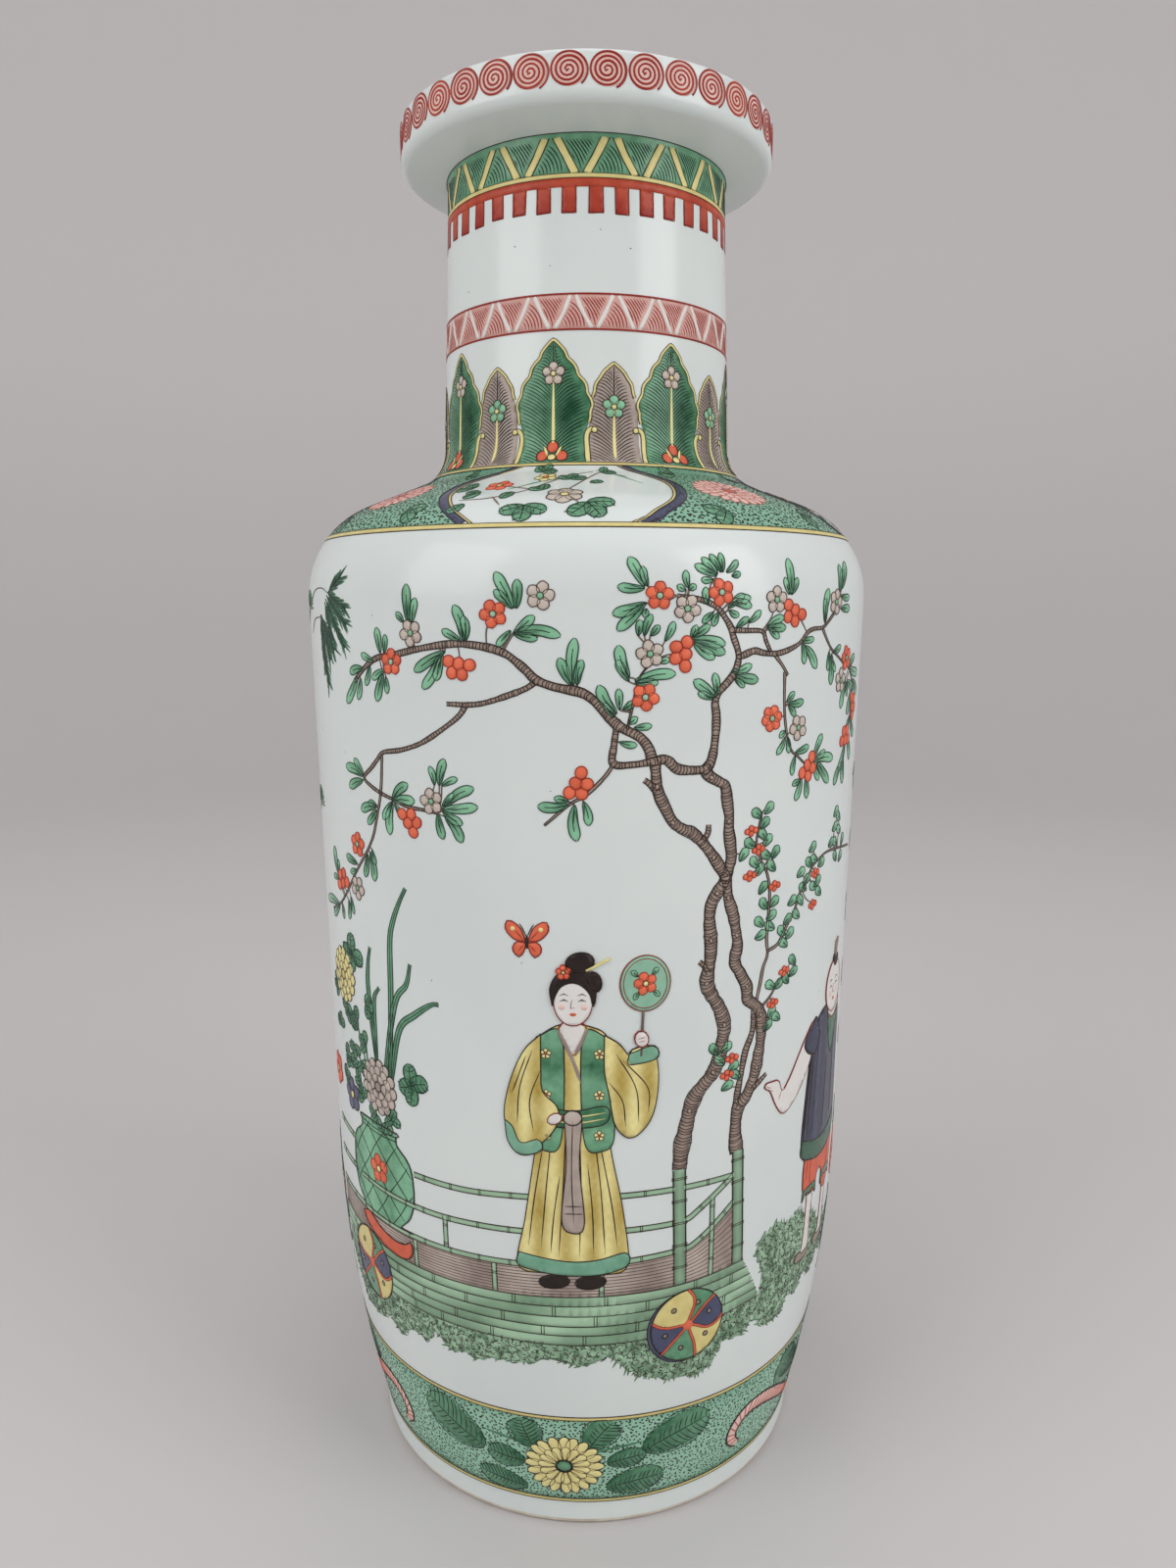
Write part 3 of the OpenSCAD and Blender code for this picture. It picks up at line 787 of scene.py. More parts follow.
def leaf_outline(pen, a, places, ripple):
    """Both edges of an upright leaf from half widths in degrees at rising heights."""
    widths, heights = np.array(places).T
    z = np.linspace(heights[0], heights[-1], 46)
    t = np.linspace(0, 1, 46)
    waves = np.abs(np.sin(t * math.pi * 7)) * np.clip((t - 0.2) * 4, 0, 1) * np.clip((1 - t) * 6, 0, 1)
    w = np.interp(z, heights, widths) + ripple * waves
    return pen.path(zip(a - w, z)), pen.path(zip(a + w, z))


def neck_leaf(pen, a, places, paint, ripple, petal_paint, petal_z, stem_z, edge_z):
    """An upright leaf with slanted ribs, a yellow edge above edge_z and a blossom on its mid line."""
    left, right = leaf_outline(pen, a, places, ripple)
    ring = np.vstack([right, left[::-1]])
    mid = pen.at(a, 360)[0]
    reach = np.abs(ring[:, 0] - mid).max()

    def shade(flat):
        across = (flat[:, 0] - mid) / reach
        pool = np.exp(-(((across - 0.4) / 0.28) ** 2))
        return 0.44 - 0.14 * across - 0.22 * pool + 0.1 * np.cos(flat[:, 1] * 0.3)

    green = paint == "green"
    pen.patch(paint, ring, shade if green else 0.58, FILL if green else WASH, 2.2)
    edge_y = pen.at(a, edge_z)[1]
    edge = np.vstack([left[left[:, 1] > edge_y], right[right[:, 1] > edge_y][::-1]])
    pen.stroke("yellow", edge, 0.8, 0.8, OVER, 1.0)
    pen.rim_lines("ink", edge, 0.42, 0.2, 0.6, LINE)
    y0 = ring[:, 1].min()
    y1 = ring[:, 1].max()
    line = "moss" if green else "ink"
    lean = 0.7
    reaches = np.linspace(0.3, 1.3 * reach, 80)
    for y in np.arange(y0 - 0.8 * reach, y1 - 2, 1.15):
        wide = np.interp(y + lean * reaches, right[:, 1], right[:, 0] - mid, right=0)
        found = reaches[np.argmax(reaches >= wide)]
        for sign, margin, width in ((1, 2.0, 0.4 if green else 0.3), (-1, 0.9, 0.3 if green else 0.24)):
            along = np.linspace(0, 1, 9)
            x = max(0.8, found - margin) * along
            rise = lean * x + 0.08 * reach * np.sin(along * math.pi)
            rib = np.stack([mid + sign * (0.4 + x), y + rise], 1)
            rib = rib[rib[:, 1] > y0 + 0.3]
            if len(rib) > 2:
                pen.stroke(line, rib, width, chance.uniform(0, 0.3), LINE, 1.3, 0.2)
    foot = np.array([mid, pen.at(a, stem_z)[1]])
    flower = np.array([mid, pen.at(a, petal_z)[1]])
    pen.blade("yellow", [flower, foot], 1.2, (1.0, 0.9), TOP, 0.85)
    pen.stroke("ink", [flower, (mid, y1 - 1)], 0.4, 0.1, LINE, 1.5, 0.2)
    blossom(pen.lifted(0.12), flower, 3.6, petal_paint, math.pi / 2)


TALL_LEAF = [
    (11.9, leaf_z), (11.1, 354.9), (12.5, 360.1), (13.6, 364.5), (12.1, 368.9), (10.6, 371.8), (8.4, 374.7),
    (6.4, 377.6), (5, 379.1), (4.2, 380.5), (3, 382), (1.6, 383.5), (0.2, 384.6),
]
SHORT_LEAF = [
    (9.2, leaf_z), (9.2, 354), (8.8, 360), (8.0, 365), (7.0, 369), (5.9, 371.8), (4.6, 373.6), (3.6, 374.8),
    (2, 376.2), (0.2, 377.5),
]
BEADS = ((-2.9, 2.0), (2.9, 2.0), (0, 5.2))
HOOK = [(12.6, 347.6), (12.2, 352), (12.0, 355), (12.4, 356.9), (13.6, 357.9), (14.9, 357.6)]


def paint_neck():
    pen = Pen(Zone(neck_mid_z), "neck")
    low = pen.up(zigzag_z)
    high = pen.up(zigzag_top_z)
    pen.belt("green", low, high, 0.6, WASH, 8)

    def yellow_bar(path):
        pen.stroke("yellow", path, 2.4, 0.8, OVER, 1.2)
        for shift in (-1.4, 1.4):
            pen.stroke("ink", path + (shift, 0), 0.3, 0.2, LINE, 1.2)

    zigzag(pen, low, pen.up(corner_z), zigzag_count, zigzag_turn, yellow_bar, "moss", 2.4, 1.15, 0.0)
    pen.edge_lines("ink", (high, low), 0.15, 0.3, OVER)
    bar_top = pen.up(zigzag_z - line_w)
    bar_low = pen.up(bar_z)
    pen.belt("yellow", bar_top, low, 0.7, OVER, 2)
    pen.belt("red", bar_low, bar_top, 0.3, OVER, 3)
    pen.edge_lines("ink", (bar_top,), 0.15, 0.3)
    top = bar_low + 0.3
    for k in range(tooth_count):
        mid, foot = pen.at(tooth_turn + k * 360 / tooth_count, tooth_z + chance.uniform(-0.5, 0.5))
        wide = tooth_w / 2 + chance.uniform(-0.2, 0.2)
        ring = jog([(mid - wide, foot), (mid + wide, foot), (mid + wide, top), (mid - wide, top)], 0.18)
        pen.patch("red", ring, lambda p: 0.05 + 0.04 * (p[:, 1] - foot), FILL, 1.6)
        edge = ring[[3, 0, 1, 2]]
        for pair in zip(edge, edge[1:]):
            pen.stroke("brick", pair, 0.36, 0.15, OVER, 1.5)

    low = pen.up(band_z)
    high = low + band_h
    pen.belt("pink", low, high, 0.52, WASH, 6)

    def white_bar(path):
        pen.stroke("white", path, 1.25, 0.9, OVER, 1.2)

    zigzag(pen, low + 0.4, high - 0.4, hatch_count, hatch_turn, white_bar, "brick", 1.2, 1.05, 0.5)
    pen.edge_lines("brick", (low, high), 0.3, 0.5)

    above = pen.lifted(0.1)
    for k in range(leaf_count):
        a = leaf_turn + k * 360 / leaf_count
        neck_leaf(pen, a, TALL_LEAF, "green", 0.9, "aubergine", 374.5, 352, 359)
        neck_leaf(pen, a + short_leaf_turn, SHORT_LEAF, "aubergine", 0.5, "green", 364.5, 348.5, 367)
        for side in (-1, 1):
            curl = pen.path([(a + side * w, z) for w, z in HOOK])
            pen.stroke("yellow", curl, 1.4, 0.8, OVER, 0.9)
            pen.rim_lines("ink", smooth(curl, 0.9), 0.75, 0.2, 0.4)
            pen.bead("yellow", oval(curl[-1], 0.95, 0.95, 0, 10), 0.85, LINE, 0.24, 0.4, 0.8)
        foot = pen.at(a, leaf_z + 0.6)
        for place in BEADS:
            above.bead("red", oval(foot + place, 1.75, 2.1, 0, 12), 0.6, OVER, 0.28, 0.5, 0.9)
        for dx in (-2.6, 2.6):
            above.blade("yellow", [foot + (dx * 0.4, 1.6), foot + (dx, 5.4)], 1.0, (0.7, 0.9), LINE, 0.6)
        above.bead("yellow", oval(foot + (0, 1.4), 1.3, 1.3, 0, 12), 0.9, LINE, 0.28, 0.4, 0.8)
    line = pen.up(leaf_z)
    yellow_line(pen, line - line_w, line, 0.6, 0.14)


# Shoulder: four white panels in blue frames on a stippled ground
panel_count = 4
panel_turn = -6
panel_pitch = 360 / panel_count
shoulder_low_z = 326.6
shoulder_line_z = 325.3
shoulder_mid_z = 336
CORNER_LEAVES = ((-11, 331, 6, 3.6), (-12, 343.5, 6, 2.6), (12, 331.5, 6, -0.3), (11.5, 343.5, 5.25, 0.6))
LEFT_SIDE = [
    (-17, 326.8), (-19.5, 329), (-23, 332), (-27.2, 336.5), (-28.3, 340.2), (-24, 343.6), (-17, 346.3),
]
RIGHT_SIDE = [
    (16, 326.8), (18.5, 328.2), (20.5, 330.2), (25.8, 334.6), (28.3, 339.6), (24.5, 343), (17.8, 346.3),
]


def paint_panel(pen):
    """The spray of flowers in one white panel, in angles from the middle of the panel."""
    stems = [
        [(-21, 334), (-14, 334.5), (-8, 336.5), (-3, 340), (2, 342.5), (8, 344)],
        [(-15.5, 339), (-10, 338), (-5, 337)],
        [(1, 336), (6, 341), (11, 343.8), (17, 342)],
        [(-14, 335), (-11, 332)],
        [(2, 335), (5, 332)],
    ]
    for stem in stems:
        pen.stroke("bark", pen.path(stem), 0.55, 0.3, OVER, 1.2, 0.2)
    for leaf in ([(-12, 337.4), (-6, 340), (0, 341.6), (6, 342.2)], [(9, 344.4), (14, 343), (20, 339.6)]):
        pen.blade("green", pen.path(leaf), 0.9, (0.3, 0.6), FILL, 0.4)
    blossom(pen, pen.at(-15.5, 339), 4.6, "red", 0.2)
    blossom(pen, pen.at(-5, 341.8), 4.2, "yellow", 0.9, heart="red")
    blossom(pen, pen.at(1.5, 335.2), 5.4, "aubergine", 0.5, 6)
    sprays = [
        (-7, 344, 3.6, 1.2, 3), (-22, 338.4, 3.8, 2.8, 2), (-18, 336.4, 3.4, 3.4, 2),
        (-19, 332.6, 3.4, 3.9, 1), (-11.5, 334.2, 3.2, 1.2, 1), (-3.5, 337, 3.2, 2.2, 2),
        (-6, 331.6, 4.2, 4.7, 3), (6.2, 332.4, 4.6, 5.2, 3), (2, 341, 3.6, 1.4, 3),
        (11, 343.4, 3.2, 0.8, 2), (7, 339.5, 2.8, 0.4, 1),
    ]
    for a, z, size, turn, lobes in sprays:
        lobed_leaf(pen, pen.at(a, z), size * 1.4, turn, lobes)


def paint_shoulder():
    middle = Pen(Zone(shoulder_mid_z), "shoulder")
    low = middle.up(shoulder_low_z)
    high = middle.up(leaf_z) - line_w

    def ground(flat):
        return 0.62 - 0.3 * (flat[:, 1] - low) / (high - low)

    for k in range(panel_count):
        pen = Pen(Zone(shoulder_mid_z, panel_turn + k * panel_pitch), "shoulder")
        right = smooth(pen.path(RIGHT_SIDE), 1.2)
        left = smooth(pen.path(LEFT_SIDE) + (math.radians(panel_pitch) * pen.radius, 0), 1.2)
        right[[0, -1], 1] = low, high
        left[[0, -1], 1] = low, high
        ring = np.vstack([right, left[::-1]])
        pen.patch("turquoise", ring, ground, WASH, 3)
        pen.dots("ink", grid_in(ring, 1.35, 0.4), 0.52, 0.05)
        for side, inward in ((right, -1), (smooth(pen.path(LEFT_SIDE), 1.2), 1)):
            pen.stroke("blue", side, 3.3, 0.45, FILL, 1.2)
            pen.stroke("yellow", side + (inward * 2.2, 0), 0.8, 0.6, OVER, 1.2)
            for shift in (-1.7, 1.7, inward * 2.7):
                pen.stroke("ink", side + (shift, 0), 0.25, 0.4, LINE, 1.2)
        paint_panel(pen)
        rings = [(1.0, 22, 0.24), (0.7, 16, 0.22), (0.42, 10, 0.2)]
        chrysanthemum(pen, pen.at(panel_pitch / 2 - 2.6, 338), 13.2, "pink", rings, "red", "red", 0.8)
        for a, z, size, turn in CORNER_LEAVES:
            lobed_leaf(pen, pen.at(panel_pitch / 2 + a, z), size, turn, 2)
    yellow_line(middle, middle.up(shoulder_line_z), low, 0.65, 0.16)


# Border above the foot: flowers, leaves and pink ribbons on a stippled ground
border_low_z = 10.6
border_high_z = 45.8
border_mid_z = 28
flower_count = 4
flower_turn = -5
flower_pitch = 360 / flower_count
ribbon_turn = -6
RIBBON = [
    (45.5, 17.5), (43.3, 20.5), (43, 25), (45.2, 29.8), (49, 31.6), (54, 30.4), (60, 26.6), (66, 21.6),
    (73, 16.4), (80, 12),
]
BORDER_LEAVES = [
    (-26, 34.5, 25, 18, 2.6), (25.5, 35.5, 24, 17, 0.35), (-8, 39, 12.5, 12, 1.9), (8, 39.3, 14, 12, 1.0),
    (-13.5, 27, 13, 10, 3.0), (14, 28.5, 13, 8.5, 0.2), (16.5, 17.5, 20, 12.5, 0.15),
    (-15, 15.8, 18, 10, 3.0),
]


def paint_ribbon(pen):
    """A pink ribbon that bends down between two flowers, with red creases."""
    path = smooth(pen.path(RIBBON), 1.2)
    t = np.linspace(0, 1, len(path))
    half = 1.3 + 1.5 * np.sin(np.clip(t * 1.25, 0, 1) * math.pi) ** 0.6
    pen.ribbon("pink", path, half, (1, 0.8, 0, -0.8, -1), (SUNK, FILL, FILL, FILL, SUNK), 1.0)
    pen.rim_lines("ink", path, half, 0.6, 0.2)
    way = unit_ways(path)
    for j in range(2, len(path) - 2, 2):
        cross = leftwards(way[j]) * half[j] * 0.9 + way[j] * chance.uniform(0.6, 1.6)
        pen.stroke("red", [path[j] - cross, path[j] + cross], 0.45, 0.35, LINE, 1.5)


def paint_border():
    around = Pen(Zone(border_mid_z), "border")
    low = around.up(border_low_z)
    high = around.up(border_high_z)

    def ground(flat):
        edge = np.minimum(flat[:, 1] - low, high - flat[:, 1])
        return 1.05 - 0.5 * np.exp(-np.abs(edge) / 3) + 0.15 * np.sin(flat[:, 0] * 0.09)

    around.belt("turquoise", low, high, ground, WASH, 16)
    girth = 2 * math.pi * around.radius
    field = np.array([(0, low), (girth, low), (girth, high), (0, high)])
    around.dots("ink", grid_in(field, 1.42, 0.42), 0.54, 0.05)
    yellow_line(around, low - line_w, low, 0.6, 0.16)
    yellow_line(around, high, high + line_w, 0.6, 0.16)
    for k in range(flower_count):
        pen = Pen(Zone(border_mid_z, flower_turn + k * flower_pitch), "border")
        for stem in ([(-19, 36.5), (-9, 34), (-3, 28)], [(3, 30), (10, 33.5), (18, 35.4)]):
            pen.stroke("green", pen.path(stem), 0.9, 0.2, OVER, 1.4, 0.2)
        for a, z, length, width, turn in BORDER_LEAVES:
            round_leaf(pen, pen.at(a, z), length, width, turn, 0.3, 13 if length > 15 else 9)
        rings = [(1.0, 20, 0.3), (0.66, 15, 0.26)]
        chrysanthemum(pen.lifted(0.1), pen.at(0, 26), 13, "pink" if k % 2 else "yellow", rings)
        if k % 2 == 0:
            for mirrored in (False, True):
                paint_ribbon(
                    Pen(Zone(border_mid_z, ribbon_turn + k * flower_pitch, mirrored), "border", 0.1)
                )


# Body: blossoming trees over a railed terrace; a limb is its width at both ends and its places
TRUNKS = [
    (3.4, 3.9, [
        (11.6, 260.2), (12.2, 252), (13.5, 247), (15, 242.5), (17, 240), (18.5, 239), (20.5, 236),
        (22.5, 232), (24, 228.5), (25.3, 225), (25.2, 223),
    ]),
    (3.6, 4.2, [
        (20.5, 258), (21.5, 255.5), (23.5, 253.5), (24.8, 252), (25.3, 247.5), (25.8, 243), (25.8, 239),
        (26.3, 234), (26.5, 230), (25.8, 225),
    ]),
    (4.2, 6.0, [
        (25.6, 226), (25.2, 223.5), (24, 220.5), (22.7, 217), (22.4, 212), (22.8, 206), (22.8, 200),
        (22.3, 195), (22.3, 192), (23.5, 188), (25, 184), (26.2, 178), (25.8, 173), (25.3, 168),
        (24, 163.5), (22, 160), (20.5, 157), (19.5, 153), (18.7, 147), (18, 141), (17.6, 133.5),
    ]),
    (3.9, 5.4, [
        (25.6, 225), (25.8, 223), (26.2, 218), (27.3, 213), (28, 208), (28.5, 203), (28, 198),
        (29.5, 193.5), (31, 189), (31.3, 185), (33.5, 182), (34.8, 178), (35, 172), (34.5, 166),
        (33.8, 160), (32, 153.5), (30, 150), (29.5, 142), (30, 135),
    ]),
    (2.4, 2.4, [(33, 181), (32.7, 174), (31.2, 168), (30.5, 162), (29.8, 156), (29.3, 151)]),
    (1.6, 2.2, [(9.8, 255), (11, 253.5), (12.2, 251)]),
    (1.4, 2.0, [(21.7, 241), (21.6, 238.5), (20.6, 236)]),
    (1.4, 2.2, [(36.8, 158.5), (35.2, 156.8), (33, 154.5)]),
    (1.4, 2.0, [(20.6, 199.5), (21.6, 198), (22.6, 195.5)]),
]
BRANCHES = [
    (3.3, 1.5, [
        (11.2, 260), (10.5, 264), (9, 267.2), (7, 269), (5, 271), (3, 274.5), (1, 278), (-1, 280),
        (-4, 281), (-6, 281.8), (-8.5, 283.5), (-10, 286), (-12, 288.8), (-13.5, 290.5), (-16, 292),
        (-20, 293), (-24, 293), (-30, 291.5), (-34.5, 290), (-40, 288.5), (-44, 285), (-47, 281),
    ]),
    (1.9, 1.3, [(-8.3, 283), (-10, 281), (-13, 279), (-17, 276.8), (-20, 276), (-24.5, 276)]),
    (1.6, 0.9, [
        (-20.8, 275.8), (-22, 273), (-24, 270.3), (-28, 266), (-31, 263.5), (-35, 261.5), (-39.5, 260.2),
        (-41, 258), (-43, 255), (-45.5, 251.5), (-43, 249), (-40, 247.3), (-37.5, 246.3), (-34, 244.7),
        (-30, 244.2), (-27, 243.7),
    ]),
    (1.0, 0.6, [
        (-39.8, 259.5), (-40.3, 251), (-41, 245), (-42.2, 239), (-43.3, 234), (-44.8, 230), (-46.5, 226.5),
        (-48.5, 223), (-51, 218.5), (-54, 213), (-57, 208.5), (-60, 205.5), (-64, 203),
    ]),
    (2.0, 2.2, [(5, 270), (4.6, 265), (4.5, 259.8), (8, 259.5), (11.3, 260.3)]),
    (3.2, 3.0, [(10.8, 260), (13.5, 260.7), (15.5, 258), (18, 257.3), (20.8, 257.3)]),
    (1.2, 0.6, [(4.5, 259.5), (3, 256), (0, 251), (-3, 248), (-7.2, 242)]),
    (3.2, 1.3, [
        (20.5, 257.3), (21.5, 258.5), (22.2, 262), (22.6, 268), (22.6, 273), (22.3, 276.5), (23, 279.5),
        (24.5, 282), (26, 285), (26.7, 289), (26.3, 292), (25.5, 295), (25, 297.5), (23.5, 301),
        (22, 303.5), (19, 305.5), (15, 306.5),
    ]),
    (2.1, 0.9, [
        (26.5, 289.2), (28, 290), (30, 291), (32, 290.3), (35, 290), (38, 291), (41, 293), (43, 296),
        (45, 297), (47.7, 297.3), (49.5, 299), (52, 302),
    ]),
    (1.0, 0.5, [(47.7, 297), (49.5, 293.5), (51.5, 290.5), (54, 288.5), (56.5, 286.5)]),
    (1.6, 1.2, [(25.3, 297), (28, 296.8), (31.5, 296.5), (32.3, 294), (33.5, 290.6)]),
    (1.2, 0.7, [(34.5, 289.8), (36.5, 286.5), (38, 283.5)]),
    (1.0, 0.5, [(37.2, 284.5), (37.4, 276), (37.8, 270), (38.8, 264), (40, 260.5), (41.5, 259), (44, 256)]),
    (1.3, 0.6, [
        (33.4, 183.5), (34.2, 189), (34.8, 194), (35.8, 198), (35.4, 203), (35.6, 210), (35.7, 218),
        (34.8, 224), (33.3, 228), (32, 234), (33, 243),
    ]),
    (1.1, 0.5, [
        (35.7, 199), (38.5, 200.5), (40, 204), (41.5, 207), (43, 210), (44, 214), (45.5, 217),
        (48.5, 222.5), (50.5, 224), (54, 225.5), (60, 225), (70, 223),
    ]),
    (1.0, 0.5, [(34.5, 181), (37, 184), (39, 188), (41.5, 190.5)]),
    (0.7, 0.4, [(6.8, 269.5), (7.8, 277), (8.8, 284), (11, 288.5)]),
    (0.8, 0.5, [(56.5, 286.5), (61, 284), (64, 278), (63.5, 270), (61.5, 261), (59, 253)]),
]
# Each leaf on a twig: the place of its root and the place of its tip
SPRIGS = [
    (-39, 290, -39.8, 297.5), (-38, 290, -37.6, 295.5), (-41, 287.5, -44.5, 289.5),
    (-44, 285, -48.6, 283.5), (-46, 282.5, -50.2, 274), (-45, 282, -46.2, 275.5), (-42, 286, -43.5, 280),
    (-38, 285, -41.5, 282), (-38.5, 284, -40.5, 275.5), (-37.8, 283, -37.7, 278), (-32, 299, -32.2, 310),
    (-31.2, 299, -30.2, 306), (-33, 299, -34.6, 302), (-24.5, 291, -31, 285), (-25.5, 290, -29.3, 280),
    (-25, 290, -26.5, 282.5), (-21, 294, -22.6, 304), (-20.5, 294, -21, 301), (-21.5, 294, -25, 297),
    (-12, 303, -15.2, 313), (-12.2, 303, -15.3, 308), (-11.5, 303, -11.4, 311), (-12, 296, -8.5, 301),
    (-12, 296.5, -4.2, 295.5), (-12, 296, -8, 294.7), (-12.5, 297, -15, 292.5), (-2.5, 282, -4.5, 289.5),
    (-2.2, 282, -1.9, 295), (-1.5, 282, -0.7, 289), (5, 274, 2, 282), (5.5, 275, 5.3, 281),
    (4.5, 273, 3, 277), (6, 275, 8, 277.5), (7, 271, 8.5, 273), (8, 270, 11, 270.5), (7, 283, 5, 289),
    (7, 284, 5.2, 293), (8, 283, 15, 285), (8, 282.5, 12, 282.5), (5.5, 266, 8.5, 265), (9.5, 309, 7, 317),
    (10, 309, 9.2, 314.5), (9.5, 308.5, 5, 309), (9.8, 304.5, 4.2, 301.5), (9.5, 304.5, 5, 297),
    (9.8, 303, 9.5, 300.5), (8.5, 295.5, 8.8, 300), (9.5, 295.5, 10.7, 301.5), (10.5, 295.5, 12, 298.5),
    (13, 294, 14.5, 299.5), (12, 288, 14, 289), (17, 308.5, 16.6, 313.5), (17, 308, 18.3, 309.5),
    (16.5, 308, 15, 309.5), (22, 312, 18.2, 315), (24, 313, 26.5, 316.5), (25, 312, 26.8, 313),
    (21.5, 311, 19.2, 311), (24.5, 305, 29, 303.5), (24.3, 303, 27.5, 307), (24.5, 302.5, 26.5, 301),
    (20.5, 304, 20, 309), (21.5, 302, 19.5, 299), (22.5, 302, 21.5, 298), (17.5, 294.5, 18.5, 298.5),
    (17.5, 294.5, 24, 293), (18, 293.5, 22, 289), (25.5, 285, 29.5, 287), (26, 284.5, 31, 282.5),
    (26, 283, 28, 280.5), (22.5, 278, 18.2, 283), (22.8, 278.5, 22, 285), (22, 277.5, 19, 279.5),
    (26, 297.5, 28.5, 300.5), (28.5, 299, 31, 302.5), (32.5, 298, 36.5, 300.5), (32.5, 297.5, 37, 297.5),
    (33, 297, 35.5, 294.5), (37.5, 307, 36.5, 312), (38, 307, 38, 317.5), (38, 307, 39.8, 312),
    (41.5, 293.5, 45, 294), (41.5, 293, 42.3, 286.5), (42.5, 292, 46.2, 285), (38, 275.5, 40, 278.5),
    (38.5, 275, 42.7, 275.5), (38.5, 274.5, 40.5, 271), (38, 267, 36.5, 265), (38, 265, 36, 260),
    (38.7, 265, 39.2, 260), (41, 260, 45, 261.5), (41, 259, 40.3, 253), (47, 258, 49.5, 264.5),
    (47.5, 257.5, 51, 259), (47, 256.5, 54.5, 256), (47, 256, 49, 250), (48, 256, 53, 248.5),
    (43, 252, 41.5, 245), (44.5, 252, 45, 245), (43, 251, 40.5, 250), (48.2, 299, 48, 306),
    (48.5, 299, 49.3, 309), (53.5, 308, 55, 316.5), (54.5, 309, 58.5, 317.5), (54.5, 307, 58.5, 306.5),
    (54.5, 303, 59, 303), (51.5, 289, 51.8, 279.5), (50.5, 290, 50.3, 284), (51.5, 288, 53.5, 283.5),
    (52, 289.5, 55.5, 291.5), (59, 280, 57, 271.5), (59, 280, 60.5, 275), (60, 280, 65, 277),
    (60.5, 284, 64.5, 288), (61, 284, 68, 282), (-45.5, 252, -52, 254), (-45.5, 252, -48.7, 257),
    (-46, 250.5, -51, 247.5), (-37.5, 246, -33.5, 251.5), (-37.5, 246, -32, 246.5),
    (-37.5, 245.5, -40.2, 239.5), (-37.5, 245.5, -38.5, 235), (-37, 245, -35, 240.5),
    (-42, 243.5, -44.5, 244), (-42, 243, -47, 241), (-42, 242, -45, 237), (-44, 229, -43, 224.5),
    (-44.7, 228, -43.7, 219), (-45.5, 227, -46.8, 219.5), (-49.5, 223, -54, 224.5),
    (-50, 221, -52.5, 219.5), (-58.5, 216, -60.5, 225.5), (-58.5, 216, -58.5, 221.5),
    (-58.5, 215, -62, 215), (-54, 209.5, -54.2, 203), (-53, 211, -51.8, 205.5), (-57.5, 207, -57, 202),
    (-59, 206, -69, 204.5), (-59, 206, -63.5, 201), (-27.5, 252, -28.5, 257.5), (-26.5, 252, -25.3, 260),
    (-26, 252, -22.8, 254.5), (-26, 246, -23.7, 250), (-25.5, 246, -19.7, 252), (-26, 245, -19, 246.5),
    (-26, 244.5, -22, 241), (-27, 243.5, -26, 236), (-25.5, 243, -22.2, 235.5), (-3, 248, -8.3, 247.5),
    (-3, 249, -5.5, 250), (-2, 248, -1.6, 237.5), (-0.5, 249, 0.4, 242), (17.6, 295, 21, 298.5),
    (18, 294, 24, 290.5), (24.6, 304.2, 28.8, 306), (23, 313, 21.2, 318), (23.3, 313, 23.2, 318.5),
    (22.3, 312.5, 19.6, 317), (64, 280, 68.5, 275), (64, 278, 61, 269), (63.5, 268, 67.5, 261),
    (63, 268, 59.8, 260), (62, 262, 65, 253.5), (61, 260, 57.5, 251), (60, 256, 60.5, 246.5),
    (59.5, 254, 55.6, 247),
]
# Places of blossoms, berries and small leaves
RED_BLOSSOMS = [
    (-36.3, 287.5), (-15.5, 301.5), (9.8, 278.5), (12, 306.5), (23, 307.5), (34.5, 271), (-49, 229.5),
    (58.7, 287.5),
]
RED_CLUSTERS = [
    (-22, 287), (-1.5, 254), (-33.5, 240), (-56.5, 215), (16.3, 290.5), (39, 302), (45, 255), (65, 271.5),
    (60.8, 261.5),
]
PALE_BLOSSOMS = [
    (-31.5, 296), (-7.5, 306.5), (10.5, 290.5), (16.8, 303), (34.5, 305.5), (41.5, 267.5), (52.3, 305),
    (-28.3, 247), (-49.8, 215), (56.2, 280.5),
]
BUSH_LEAVES = [
    (34.7, 244), (31.8, 242.5), (33.8, 239.5), (33.3, 236), (34.7, 234), (30.5, 234), (29.2, 230.8),
    (34.5, 230), (36.8, 230), (31.8, 228), (33, 225.5), (36, 226), (34, 219.5), (34.4, 214.5), (37, 214.3),
    (33.4, 208.8), (36.3, 210.5), (36.2, 207), (33.8, 204.8), (39.5, 204.5), (41, 207.5), (40, 200),
    (41.7, 203), (43.5, 208.5), (42, 213.5), (44.5, 212.5), (44.5, 221.5), (45.3, 216.5), (46.5, 218.5),
    (47, 224), (48, 229), (49, 225), (51.8, 222.8), (49, 216), (50.5, 217.3), (51.2, 213.3), (57.7, 238),
    (59.5, 236), (57.5, 233), (60, 231), (56, 228), (58, 227.5), (63, 227), (58.5, 222.5), (62, 221.5),
    (36.8, 187.5), (39, 187.5), (41.3, 188.3), (43.5, 189.5), (43, 193.5), (37.5, 178.8), (38.8, 176.5),
    (36.6, 174.5), (24.3, 171), (26.7, 171), (25.5, 167), (28.5, 164), (29, 161), (27.3, 158),
]
BUSH_BERRIES = [
    (30.6, 238.3), (32.4, 232.3), (30.6, 224.5), (36.8, 220), (49.4, 220.5), (49, 210.3), (40.5, 191.5),
    (37.6, 182), (28, 167.5), (27, 162.3),
]


